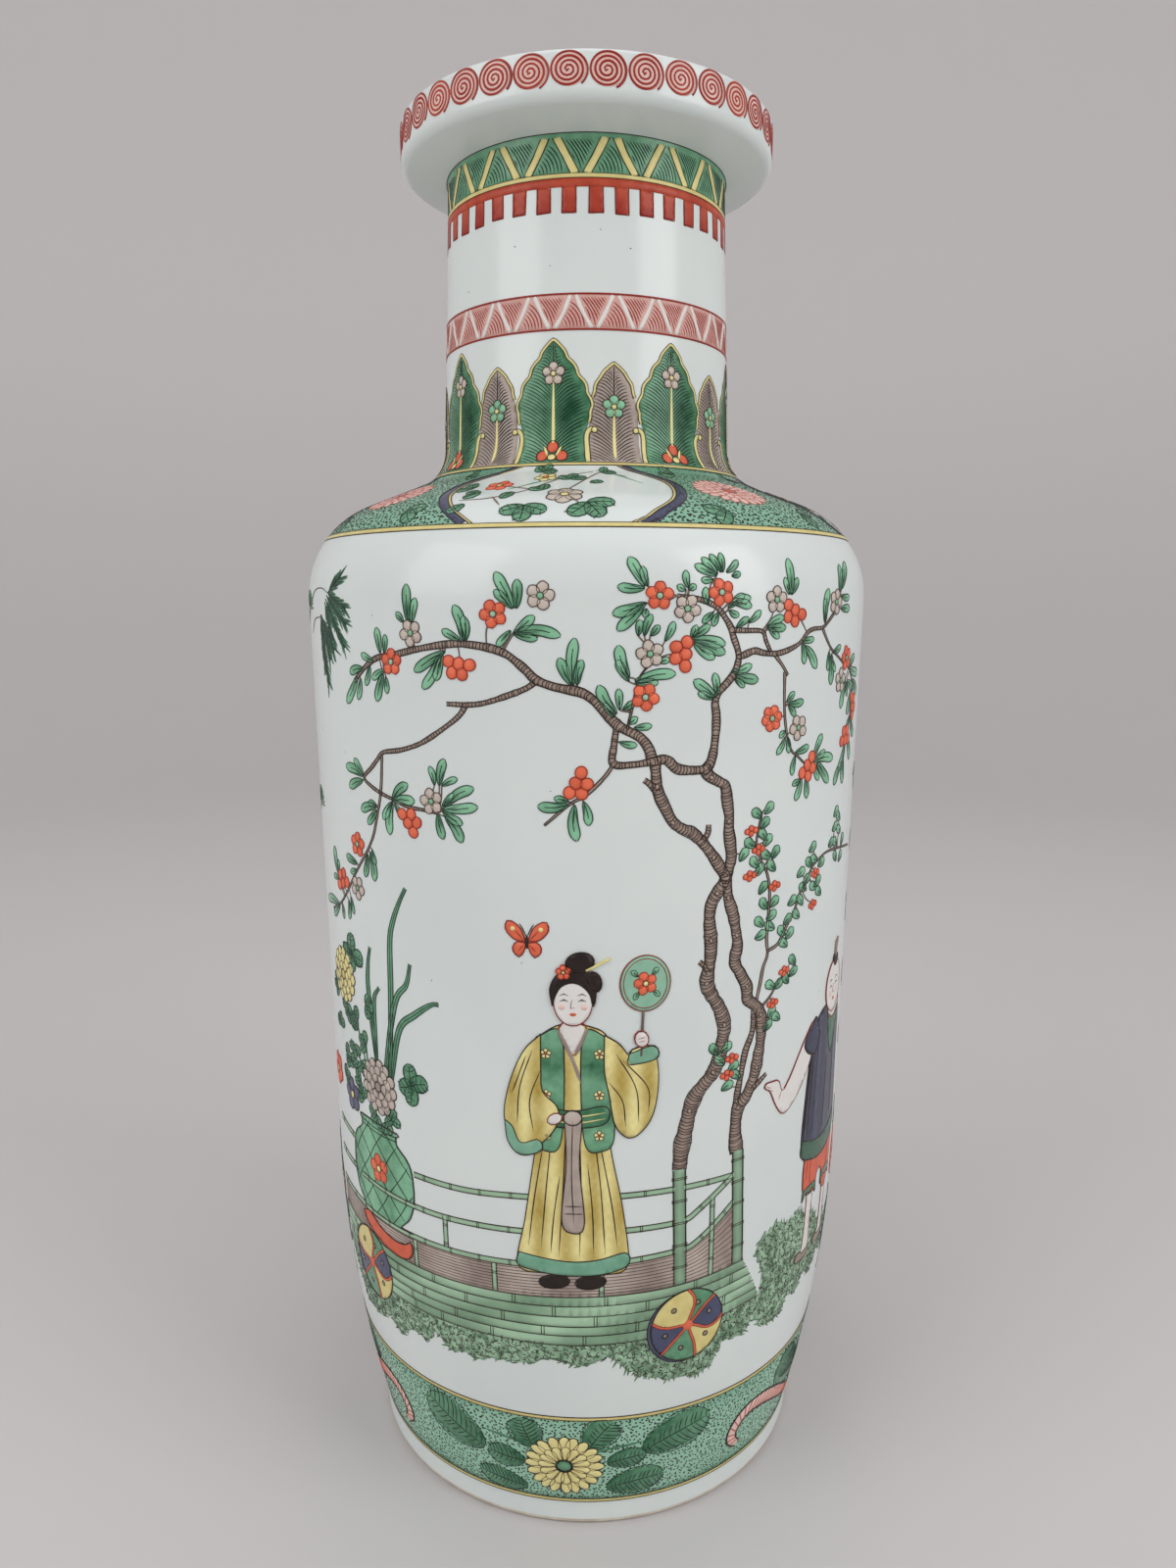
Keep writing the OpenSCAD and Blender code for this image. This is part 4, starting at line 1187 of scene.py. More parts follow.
def bark(pen, places, w0, w1):
    """A limb with dark edges, rings across it and a few knots; gives its middle line."""
    path = smooth(pen.path(places), 1.0)
    n = len(path)
    t = np.linspace(0, 1, n)
    swell = 0.1 * np.sin(t * n * 0.45 + chance.uniform(0, 6)) + chance.uniform(-0.08, 0.08, n)
    half = (w0 + (w1 - w0) * t) / 2 * (1 + swell)
    lift = WASH + chance.uniform(0, 0.02)
    tones = np.array([0.1, 0.45, 0.75, 0.5, 0.15])[:, None] + chance.uniform(-0.15, 0.15, n)
    pen.ribbon("bark", path, half, ROUND, (SUNK, lift, lift + 0.03, lift, SUNK), tones)
    pen.rim_lines("ink", path, half, 0.34, 0.35, FILL + 0.03)
    if max(w0, w1) < 1.2:
        return path
    way = unit_ways(path)
    for j in range(1, n - 1):
        cross = leftwards(way[j]) * half[j] * chance.uniform(0.75, 1.05)
        spot = path[j] + way[j] * chance.uniform(-0.25, 0.25)
        ring = [spot - cross, spot + way[j] * half[j] * 0.3, spot + cross]
        pen.stroke("ink", ring, 0.3, 0.5 + chance.uniform(-0.3, 0.3), FILL + 0.03, 1.3)
    if w1 > 3:
        for j in range(6, n - 4, 15):
            knot = oval(path[j] + way[j] * chance.uniform(-2, 2), 0.9, 0.65, chance.uniform(0, 3), 10)
            pen.dab("bark", knot, 0.9, FILL + 0.03)
            pen.stroke("ink", closed(knot), 0.3, 0.3, OVER, 0.8)
    return path


CLUSTER = [(-1.0, 0.8), (-1.0, -0.5), (0.1, -1.0), (1.3, -0.3), (0.1, 0.2)]


def cluster(pen, centre, size, count, turn):
    """A red blossom seen from the side: a few round petals close together."""
    for k, (x, y) in enumerate(CLUSTER[-count:]):
        spot = centre + size * (x * direction(turn) + y * direction(turn + math.pi / 2))
        ring = oval(spot, size * 0.74, size * 0.68, turn + k, 12)
        pen.dab("red", ring, 0.75 + chance.uniform(-0.12, 0.1), FILL + 0.012 * k)
        pen.stroke("red", closed(ring), 0.24, 0.1, OVER + 0.012 * k, 0.8)


def twig(pen, limbs, spot, reach):
    """A thin shoot from the nearest limb to a leaf or a blossom close by."""
    gaps = np.hypot(*(limbs - spot).T)
    near = limbs[gaps.argmin()]
    if 0.8 < gaps.min() < reach:
        way = spot - near
        bend = (near + spot) / 2 + leftwards(way) * chance.uniform(-0.15, 0.15)
        pen.stroke("bark", [near, bend, spot], 0.5, 0.2, FILL, 1.0)


limb_scale = 0.86
blossom_size = 4.0
cluster_size = 2.6
berry_size = 1.35


def paint_trees(pen):
    limbs = [bark(pen, places, w0 * limb_scale, w1 * limb_scale) for w0, w1, places in TRUNKS + BRANCHES]
    limbs = np.vstack(limbs)
    for a0, z0, a1, z1 in SPRIGS:
        root = pen.at(a0, z0)
        tip = pen.at(a1, z1)
        twig(pen, limbs, root, 9)
        finger_leaf(pen, root, tip, float(np.clip(np.hypot(*(tip - root)) * 0.36, 2.1, 3.2)))
    for place in RED_BLOSSOMS + PALE_BLOSSOMS + RED_CLUSTERS + BUSH_LEAVES + BUSH_BERRIES:
        twig(pen, limbs, pen.at(*place), 12)
    above = pen.lifted(0.05)
    for k, place in enumerate(PALE_BLOSSOMS):
        blossom(above, pen.at(*place), blossom_size, "aubergine", 0.8 + 0.5 * k, heart="green")
    for k, place in enumerate(RED_BLOSSOMS):
        blossom(above, pen.at(*place), blossom_size, "red", 0.3 + 0.4 * k, 6 if k == 5 else 5, "leek")
    for k, place in enumerate(RED_CLUSTERS):
        cluster(above, pen.at(*place), cluster_size, 5, 0.3 + 1.2 * k)
    for k, place in enumerate(BUSH_LEAVES):
        turn = math.pi / 2 + (0.9 if k % 2 else -0.9) + chance.uniform(-0.3, 0.3)
        way = direction(turn) * 2.4
        finger_leaf(pen, pen.at(*place) - way, pen.at(*place) + way, 3.1)
    for place in BUSH_BERRIES:
        cluster(above, pen.at(*place), berry_size, 4, 0)


# Terrace: rails, posts, a hatched strip and courses of planks, with grass below
FAR_RAIL = [(-68, 125.5), (-57, 124.6)]
TOP_RAIL = [(-36, 124.5), (-24, 124.8), (-12, 126), (8, 127), (30, 127.6)]
MID_RAIL = [
    (-68, 113.8), (-36, 113.3), (-20, 114), (0, 115), (16, 115.8), (19.5, 116.5), (22, 119), (25.5, 123),
    (29.8, 128),
]
LOW_RAIL = [
    (-68, 102.4), (-36, 102.3), (-12, 103.3), (4, 104.5), (16, 106), (19.5, 106.5), (22, 108.5), (25, 112),
    (29.8, 118.4),
]
PLANK_LEFT = (91.5, 88.4, 85, 81.6, 78.4, 75)
PLANK_MID = (93, 89.7, 86, 82.3, 79, 75.5)
PLANK_RIGHT = (96.5, 93.4, 90.2, 87, 83.6, 80)
plank_rows = 5
plank_joints = 7
plank_grain = 3
joint_pitch = 21
joint_shift = 8.5
joint_run = 118
hatch_lines = 10
POSTS = [
    (-28.5, 114, 103), (-36.5, 101, 92), (-18, 102, 92.5), (-8.5, 114, 104), (2.8, 104, 93), (6, 115, 105),
    (24.8, 122, 95),
]
TRUNK_POSTS = ([(17.6, 133.5), (18.3, 94.5)], [(30.3, 135.5), (31.2, 96.5)])
GRASS = [
    (-60, 60), (-52, 61), (-48, 64), (-44, 60), (-40, 66), (-36, 64), (-33, 69), (-30, 65), (-26, 66),
    (-23, 64.5), (-18, 67), (-12, 67.5), (-8, 70), (-4, 69), (0, 67.5), (4, 71), (8, 66), (10, 63),
    (14, 61), (17, 59), (20, 59.5), (23, 57.5), (27, 61), (29, 68), (34, 67.5), (37, 71), (41, 66),
    (46, 66), (49, 72), (52, 70), (56, 75), (60, 71), (64, 77), (67, 74), (71, 79), (74, 78),
]
BANK = [
    (75, 86), (71, 89), (68, 86), (64, 93), (61, 91), (57, 98), (54, 97), (51, 102), (49, 103), (46, 101),
    (42, 104), (39, 102), (36, 97.5), (37.2, 93), (38.4, 88),
]


def bamboo(pen, places, width, joint=11.0, top=FILL, pale=0.0):
    """A green cane with dark edges and a joint every so often."""
    path = smooth(pen.path(places), 1.5)
    tones = pale + np.array([0.35, 0.6, 0.85, 0.6, 0.35])[:, None]
    pen.ribbon("leek", path, width / 2, ROUND, (SUNK, top, top + 0.02, top, SUNK), tones)
    pen.rim_lines("ink", path, width / 2, 0.3, 0.4, top + 0.03)
    way = unit_ways(path)
    every = max(2, int(joint / 1.5))
    for j in range(every // 2, len(path) - 1, every):
        cross = leftwards(way[j]) * width * 0.62
        for shift in (-0.3, 0.3):
            spot = path[j] + way[j] * shift
            pen.stroke("ink", [spot - cross, spot + cross], 0.28, 0.4, top + LAYER, 1.5)


def mottled(flat):
    """An uneven tone for a wash of grass."""
    return 0.6 + chance.uniform(-0.5, 0.5, len(flat))


def scribble(pen, points, size, paint="ink", tone=0.5):
    """Many small curls of a fine brush, one at each point."""
    t = np.linspace(0, 1, 4)
    for p in points:
        a = chance.uniform(0, 2 * math.pi)
        sweep = chance.uniform(1.5, 3.5) * chance.choice([-1, 1])
        curl = p + size * directions(a + sweep * t) * (0.6 + 0.5 * t[:, None])
        pen.stroke(paint, curl, 0.26, tone + chance.uniform(-0.3, 0.3), FILL + 0.02, 1.1)


def plank_edge(row):
    left = PLANK_LEFT[row]
    right = PLANK_RIGHT[row]
    mid = PLANK_MID[row]
    return [
        (-68, left + 1.2), (-40, left + 0.2), (-20, left + 0.6), (0, mid), (18, (mid + right) / 2 - 0.6),
        (32.8 + row * 1.05, right),
    ]


def paint_grass(pen):
    """Ragged ground under the planks: a pale wash, small curls and blades along its edge."""
    edge = jog(np.vstack([smooth(pen.path(GRASS), 1.0), smooth(pen.path(BANK), 1.0)]), 0.6)
    ring = np.vstack([edge, smooth(pen.path(plank_edge(plank_rows)), plank_grain)[::-1]])
    pen.patch("leek", ring, mottled, WASH, 2.0)
    scribble(pen, grid_in(ring, 1.7, 0.5), 0.9)
    scribble(pen, grid_in(ring, 2.4, 0.5), 1.0, "moss", 0.6)
    middle = ring.mean(0)
    for p in edge[::2]:
        out = p - (middle * 0.3 + (p[0] * 0.7, middle[1] * 0.7))
        out = out / np.hypot(*out) * chance.uniform(0.6, 1.8) + chance.uniform(-0.8, 0.8, 2)
        pen.blade("leek", [p - out, p + out], 1.1, (0.4, 0.8), WASH, 0.4)
        paint = "moss" if chance.uniform() < 0.6 else "ink"
        tone = 0.7 + chance.uniform(-0.3, 0.3)
        pen.stroke(paint, [p - out * 0.6, p + out], 0.28, tone, FILL + 0.03, 1.0, 0.3)


def paint_planks(pen):
    """Courses of green planks with double joints."""
    for row in range(plank_rows):
        upper = smooth(pen.path(plank_edge(row)), plank_grain)
        lower = smooth(pen.path(plank_edge(row + 1)), plank_grain)
        ring = np.vstack([lower, upper[::-1]])
        pen.patch("leek", ring, lambda p: 0.6 + 0.25 * np.sin(p[:, 0] * 0.11 + row), FILL, plank_grain)
        for line in (upper, lower):
            pen.stroke("ink", line, 0.32, 0.35, FILL + 0.03, 2)
        for k in range(plank_joints):
            spot = (k * joint_pitch + row * joint_shift) % joint_run / joint_run
            for shift in (-0.45, 0.45):
                x = upper[0, 0] + spot * (upper[-1, 0] - upper[0, 0]) + shift
                ends = [(x, np.interp(x, edge[:, 0], edge[:, 1])) for edge in (upper, lower)]
                pen.stroke("ink", ends, 0.28, 0.35, FILL + LAYER, 2)


def paint_terrace(pen):
    paint_grass(pen)
    paint_planks(pen)
    low = smooth(pen.path(plank_edge(0)), plank_grain)
    high = smooth(pen.path([(a, z - 0.5) for a, z in LOW_RAIL]), plank_grain)
    ring = np.vstack([low, high[::-1]])
    pen.patch("aubergine", ring, lambda p: 0.62 + 0.2 * np.sin(p[:, 0] * 0.23), WASH, plank_grain)
    for k in range(1, hatch_lines):
        t = k / hatch_lines
        x = np.arange(low[0, 0], low[-1, 0] * (1 - t) + high[-1, 0] * t, 3.0)
        y = np.interp(x, low[:, 0], low[:, 1]) * (1 - t) + np.interp(x, high[:, 0], high[:, 1]) * t
        pen.stroke("ink", np.stack([x, y], 1), 0.22, 0.9, FILL, 3)
    for rail in (FAR_RAIL, TOP_RAIL, MID_RAIL, LOW_RAIL):
        bamboo(pen, rail, 1.8)
    for a, z0, z1 in POSTS:
        bamboo(pen, [(a, z0), (a + 0.1, z1)], 1.6, 7)
    for places in TRUNK_POSTS:
        bamboo(pen, places, 4.2, 8, OVER, -0.3)


BALL_SEAMS = [(3, -23), (43, 3), (92, -18), (167, 10), (226, 0), (285, 5)]
BALL_PAINTS = ("blue", "green", "yellow")
BALLS = ((20.5, 78.8), (-53, 81))
ball_r = 13


def brocade_ball(pen, place):
    """A ball of six curved segments in three colours, with a red heart."""
    centre = pen.at(*place)
    side = oval(centre - (1.2, 0.4), ball_r, ball_r, 0, 40)
    pen.patch("blue", side, 0.7, OVER, 2)
    pen.stroke("ink", closed(side), 0.4, 0.2, OVER + 0.02, 1.4)
    r = np.linspace(0, 1, 9)
    bow = np.sin(r * math.pi)
    rays = [directions(np.radians(turn + bend * bow)) for turn, bend in BALL_SEAMS]
    seams = [centre + ball_r * (r[:, None] * ray) for ray in rays]
    for k in range(6):
        after = (k + 1) % 6
        paint = BALL_PAINTS[k % 3]
        start = math.radians(BALL_SEAMS[k][0])
        stop = math.radians(BALL_SEAMS[after][0] + (0 if after else 360))
        rim = centre + ball_r * directions(np.linspace(start, stop, 9)[1:-1])
        ring = np.vstack([seams[k], rim, seams[after][:0:-1]])
        pen.patch(paint, ring, 0.42 if paint == "green" else 0.6, LINE, 2)
        spot = centre + ball_r * 0.64 * direction((start + stop) / 2)
        pen.dab("bark", oval(spot, 0.7, 0.7, 0, 8), 0.6, TOP)
        pen.stroke("ink", closed(oval(spot, 0.9, 0.9, 0, 10)), 0.42, 0.1, TOP, 0.6)
        pen.stroke("red", seams[k], 0.8, 0.7, TOP, 1.2)
        pen.rim_lines("brick", seams[k], 0.42, 0.24, 0.2, TOP + 0.02)
    pen.stroke("ink", closed(oval(centre, ball_r, ball_r, 0, 40)), 0.5, 0.2, TOP, 1.4)
    pen.dab("red", oval(centre, 2, 2, 0, 12), 0.7, TOP + 0.04)


# Flowers in a jar on the left of the terrace
JAR = [
    (-41, 101.5), (-40, 104), (-38, 107), (-37, 110), (-36.3, 114), (-36.2, 119), (-36.7, 125),
    (-38, 128.5), (-40.7, 132), (-40.7, 136),
]
jar_axis = -47
JAR_STEMS = ((-54.5, 173), (-50, 165), (-48, 158), (-57, 160))
JAR_RAILS = ([(-54, 113.5), (-46, 113.3), (-35.8, 113.3)], [(-53, 102.3), (-46, 102.2), (-37, 102.2)])
JAR_STAND = [
    (-55, 99.5), (-53, 96), (-48, 93), (-42, 91.6), (-38.6, 93), (-37.4, 96), (-37.8, 99.4), (-39.6, 97.6),
    (-43, 97), (-48, 98.6), (-52, 101.4),
]
BROAD_LEAVES = (
    ((-35.5, 155), (-36, 160.5), (-32.5, 156.5), (-36, 149.5), (-38, 153.5)),
    ((-54, 191), (-54, 197), (-58, 191.5), (-50, 190.5), (-54.5, 187)),
)
ORCHID = [
    [(-42, 150), (-40.5, 180), (-40, 200), (-39, 207), (-37, 214), (-35.2, 219)],
    [(-45.5, 152), (-47.7, 180), (-47.5, 190), (-46.5, 196.5)],
    [(-44, 150), (-39.5, 180), (-36, 188), (-34.8, 195)],
    [(-41.5, 152), (-38.5, 172), (-34, 179), (-30, 183.5), (-28.3, 184)],
    [(-46, 156), (-46, 178), (-44, 184)],
]
JAR_LEAVES = [
    (-56, 166), (-53, 169), (-55, 159), (-60, 153), (-56, 151), (-53, 147.5), (-52, 154.5), (-61, 144),
    (-52, 142), (-47, 139), (-44, 138), (-42, 140), (-50, 162), (-58, 172), (-49, 176), (-63, 162),
    (-64, 176),
]


def paint_jar(pen):
    for tip in JAR_STEMS:
        pen.stroke("green", pen.path([(jar_axis, 137), (-49, 150), tip]), 0.9, 0.2, FILL, 2)
    for leaf in ORCHID:
        path, half = pen.blade("green", pen.path(leaf), 2.3, (0.25, 0.6), FILL, 0.5, 1.6, 0.5, 0.4)
        pen.rim_lines("moss", path, half, 0.3, 0.1, OVER)
        pen.stroke("moss", path, 0.28, 0.1, LINE, 2)
    for k, place in enumerate(JAR_LEAVES):
        lobed_leaf(pen, pen.at(*place), 4.2, 1.2 + 1.7 * k, 3)
    for heart, *tips in BROAD_LEAVES:
        middle = pen.at(*heart)
        for tip in tips:
            way = pen.at(*tip) - middle
            round_leaf(pen, middle + way * 0.6, 7.5, 6, math.atan2(way[1], way[0]), 0.35, 5)
    rings = [(1.0, 13, 0.46), (0.74, 10, 0.44), (0.46, 6, 0.42)]
    above = pen.lifted(0.08)
    chrysanthemum(above, pen.at(-45.8, 149.5), 9.5, "aubergine", rings, heart="aubergine")
    chrysanthemum(above, pen.at(-59, 182), 9.5, "yellow", rings, heart="yellow")
    blossom(above, pen.at(-57.5, 140), 6, "blue", 0.5)
    blossom(above, pen.at(-68, 143), 6, "red", 0.9)
    right = smooth(pen.path(JAR), 1.5)
    left = smooth(pen.path([(2 * jar_axis - a, z) for a, z in JAR]), 1.5)
    ring = np.vstack([right, left[::-1]])
    pen.patch("green", ring, lambda p: 0.72 + 0.2 * np.cos(p[:, 0] * 0.3), OVER, 2.5)
    axis = pen.at(jar_axis, 118)
    along = np.linspace(-32, 32, 60)
    for lean in (0.9, -0.75):
        way = direction(lean)
        for k in range(-4, 5):
            wave = 0.7 * np.sin(along * 0.4 + k * 2.1)
            line = axis + k * 7.4 * leftwards(way) + along[:, None] * way + wave[:, None] * way[::-1]
            pen.clipped("moss", line, ring, 0.36, 0.1, TOP)
    pen.stroke("ink", closed(ring), 0.45, 0.2, TOP, 1.5)
    blossom(pen.lifted(0.14), pen.at(jar_axis, 120), 5.2, "red", 0.5)
    for z in (133.2, 134.6):
        line = pen.path([(jar_axis - 6.4, z), (jar_axis, z - 0.6), (jar_axis + 6.4, z)])
        pen.stroke("moss", line, 0.36, 0.1, TOP, 2)
    for rail in JAR_RAILS:
        bamboo(pen.on("terrace"), rail, 1.5, top=TOP + 0.03)
    stand = pen.path(JAR_STAND)
    pen.patch("red", rounded(stand, 1.5), 0.6, OVER, 2.5)
    pen.stroke("ink", closed(stand), 0.4, 0.3, TOP, 1.5)


# Figures on the terrace, drawn in mm from the ground between their feet
LEVELS = [0.17 + 0.035 * k for k in range(13)]
lady_place = (-2.5, 94)
boy_place = (60, 83)
butterfly_place = (-10.5, 207)
UPPER_WING = [(0.3, 0.4), (2.2, 4.6), (5.6, 6.4), (6.4, 3.6), (3.6, 0.6)]
LOWER_WING = [(0.3, -0.2), (3.2, 0), (4.4, -2.4), (2.4, -4.6), (0.8, -2.6)]


def shape(pen, foot, points, paint, tone, level=0, line="ink", curve=True):
    """A flat area of a figure with its outline, on one of the levels from the cloth to the hair."""
    ring = np.asarray(points, float) + foot
    if curve:
        ring = rounded(ring, 1.3)
    pen.patch(paint, ring, tone, LEVELS[level], 2.2)
    pen.stroke(line, closed(ring), 0.38, 0.25, LEVELS[level] + 0.025, 1.3)


def egg(pen, foot, middle, rx, ry, turn, count, paint, tone, level, line="brick"):
    """A smooth oval area of a figure with its outline."""
    shape(pen, foot, oval(middle, rx, ry, turn, count), paint, tone, level, line, False)


def both_sides(points, side):
    """An outline as given, or mirrored where side is -1."""
    return [(side * x, y) for x, y in points]


def folds(pen, foot, lines, width, tone, level, paint="ink"):
    for line in lines:
        pen.stroke(paint, np.asarray(line, float) + foot, width, tone, LEVELS[level] + 0.02, 1.3, 0.15)


def paint_face(pen, middle, size, level):
    """Calm brows, eyes, nose and lips around the middle of a face."""
    marks = [
        ("ink", 0.4, [[(-4.4, 2.2), (-3, 2.9), (-1.4, 2.3)], [(1.4, 2.3), (3, 2.9), (4.4, 2.2)]]),
        ("ink", 0.55, [[(-4.2, 0.4), (-2.9, 0.95), (-1.5, 0.35)], [(1.5, 0.35), (2.9, 0.95), (4.2, 0.4)]]),
        ("ink", 0.5, [[(-3.1, 0.35), (-2.6, 0.3)], [(2.6, 0.3), (3.1, 0.35)]]),
        ("brick", 0.28, [[(-0.2, 1), (-0.9, -1.7), (0, -2), (0.7, -1.7)]]),
    ]
    for paint, width, lines in marks:
        folds(pen, middle, [np.array(line) * size for line in lines], width, 0.15, level, paint)
    for x in (-3.6, 3.6):
        cheek = oval(middle + np.array((x, -1.6)) * size, 1.3 * size, 1.1 * size, 0, 10)
        pen.dab("pink", cheek, 0.95, LEVELS[level])
    lips = oval(middle + np.array((0, -4)) * size, 1.3 * size, 0.65 * size, 0, 10)
    pen.dab("red", lips, 0.5, LEVELS[level] + 0.02)


def paint_lady(pen, robe, jacket):
    """A lady in a long robe with a round fan."""
    foot = pen.at(*lady_place)

    def cloth(p):
        return 0.5 + 0.35 * np.sin((p[:, 0] - foot[0]) * 0.75) + 0.1 * np.sin(p[:, 1] * 0.3)

    for x in (-6, 5.5):
        shape(pen, foot, oval((x, 4.2), 5, 2.4, 0.1, 14), "ink", 0.1)
    gown = [
        (-10.5, 84), (-10, 72), (-9.5, 62), (-12, 45), (-15, 25), (-17.5, 9), (-8, 7), (0, 6.5), (9, 7),
        (17, 9.5), (15.5, 28), (12, 46), (9.5, 62), (10, 72), (10.5, 84), (4, 88), (-4, 88),
    ]
    shape(pen, foot, gown, robe, cloth, 1)
    hem = [
        (-17.2, 13.5), (-17.5, 9), (-8, 7), (0, 6.5), (9, 7), (17, 9.5), (16.6, 14), (8, 12), (0, 11.3),
        (-8, 12),
    ]
    shape(pen, foot, hem, "turquoise", 0.4, 2)
    pleats = [
        [(-6, 57), (-8, 38), (-10, 16)], [(-2, 57), (-3, 36), (-4.5, 13)], [(2, 57), (2.5, 36), (2, 13)],
        [(6, 57), (8.5, 36), (10, 14)], [(-9, 50), (-12, 32), (-14, 16)], [(8, 52), (12, 30), (13.8, 16)],
        [(-4, 40), (-6, 26), (-7, 14)], [(4.5, 44), (6, 28), (6.4, 14)],
    ]
    folds(pen, foot, pleats, 0.4, 0.3, 2)
    front = [(10.8, 84), (12, 70), (12.5, 52), (9, 48), (4, 49.5), (2.5, 66), (3.5, 86)]
    for side in (-1, 1):
        shape(pen, foot, both_sides(front, side), jacket, lambda p: 0.45 + 0.2 * np.sin(p[:, 1] * 0.4), 3)
    for y in (53, 66, 79):
        for x in (-8, 8):
            blossom(pen.lifted(0.16), foot + (x, y), 1.7, "yellow", 0.3, heart="red")
    shape(pen, foot, [(-10, 62.5), (0, 61), (10, 62.5), (10, 57), (0, 55.5), (-10, 57)], "green", 0.2, 4)
    cords = [[(-10, 60.5), (0, 59.2), (10, 60.5)], [(-10, 58.6), (0, 57.2), (10, 58.6)]]
    folds(pen, foot, cords, 0.4, 0.7, 5, "yellow")
    sash = [(-2.6, 60), (2.6, 60), (2, 44), (3.5, 24), (0, 21), (-3.5, 25), (-2, 44)]
    shape(pen, foot, sash, "aubergine", 0.6, 6)
    creases = [[(0, 58), (-0.4, 40), (0.3, 24)], [(-2.6, 30), (3, 30)], [(-2.7, 27.5), (3.2, 27.5)]]
    folds(pen, foot, creases, 0.34, 0.3, 7)
    egg(pen, foot, (0, 58.8), 2.8, 2.4, 0, 14, "aubergine", 0.8, 7, "ink")
    left_sleeve = [
        (-9.5, 85), (-15, 79), (-19.5, 68), (-21, 57), (-17, 48), (-10, 50), (-5, 56), (-4.5, 62), (-9, 67),
        (-9.5, 74),
    ]
    shape(pen, foot, left_sleeve, robe, cloth, 7)
    left_cuff = [(-21, 57), (-20, 50), (-16, 46), (-9.5, 48), (-10.5, 51.5), (-16, 50), (-18.5, 55)]
    shape(pen, foot, left_cuff, "turquoise", 0.5, 8)
    right_sleeve = [
        (9.5, 85), (14, 82), (17, 78), (17.5, 80), (24, 80.5), (26, 70), (24, 58), (18, 52), (13, 56),
        (11, 66), (9.5, 74),
    ]
    shape(pen, foot, right_sleeve, robe, cloth, 7)
    pen.stroke("bark", np.array([(20.5, 78), (21, 92)]) + foot, 0.9, 0.2, LEVELS[8], 2)
    shape(pen, foot, [(17, 79), (24.3, 81), (25.5, 77), (16.8, 75.5)], "turquoise", 0.5, 8)
    sleeve_folds = [
        [(-12, 80), (-16, 68), (-17, 56)], [(-9.5, 74), (-13, 64), (-12, 54)],
        [(13, 79), (19, 68), (20, 57)], [(11, 70), (15, 64), (16, 56)], [(-14, 78), (-18.4, 66)],
        [(15, 77), (22.6, 68), (23, 60)],
    ]
    folds(pen, foot, sleeve_folds, 0.38, 0.3, 8)
    fan = np.array((21.6, 100.5))
    egg(pen, foot, fan, 7.6, 8.6, 0, 26, "turquoise", 0.8, 2)
    pen.stroke("brick", closed(oval(foot + fan, 6.6, 7.6, 0, 26)), 0.3, 0.4, LEVELS[3], 1.3)
    blossom(pen.lifted(0.2), foot + fan, 3.6, "red", 0.6)
    for turn in (0.9, 2.4, 4.1, 5.5):
        way = direction(turn)
        finger_leaf(pen.lifted(0.15), foot + fan + way * 3.2, foot + fan + way * 6, 1.7)
    egg(pen, foot, (20.6, 83.3), 2.1, 2.6, 0.3, 12, "white", 0.8, 9)
    folds(pen, foot, [[(19.6, 83.4), (21.8, 83.9)], [(19.6, 82.4), (21.8, 82.8)]], 0.26, 0.5, 10, "brick")
    egg(pen, foot, (-5.4, 58.4), 2.5, 1.7, 0.5, 12, "white", 0.8, 9)
    neckline = [(-2.6, 89), (2.4, 89), (4.2, 86), (0, 78.5), (-4.2, 86)]
    shape(pen, foot, neckline, "white", 0.85, 4, "brick", False)
    collar = [[(-4.6, 87.4), (0, 77.4), (2.5, 70)], [(4.6, 87.4), (0.8, 78.6)]]
    folds(pen, foot, collar, 1.2, 0.35, 5, "aubergine")
    face = np.array((0.2, 95.2))
    egg(pen, foot, face, 5.7, 7.2, 0, 26, "white", 0.95, 8)
    hair = [
        (-5.9, 94), (-6.6, 99.5), (-4, 104), (0.6, 105.6), (5.2, 104), (7, 99.5), (6.2, 93.5), (5.2, 97.6),
        (2.6, 100.4), (-0.4, 101.2), (-3.4, 99.8), (-5, 97),
    ]
    shape(pen, foot, hair, "ink", 0.1, 9)
    shape(pen, foot, oval((2.2, 107.2), 4.3, 3.2, 0.2, 16), "ink", 0.1, 10)
    shape(pen, foot, oval((6.4, 101.5), 2.2, 3.2, 0.3, 14), "ink", 0.1, 10)
    blossom(pen.lifted(0.42), foot + (-2.6, 104.4), 2.3, "red", 0.4)
    pen.stroke("yellow", np.array([(4, 105), (11, 108.5)]) + foot, 0.8, 0.7, LEVELS[12], 1.5)
    paint_face(pen, foot + face, 0.92, 9)


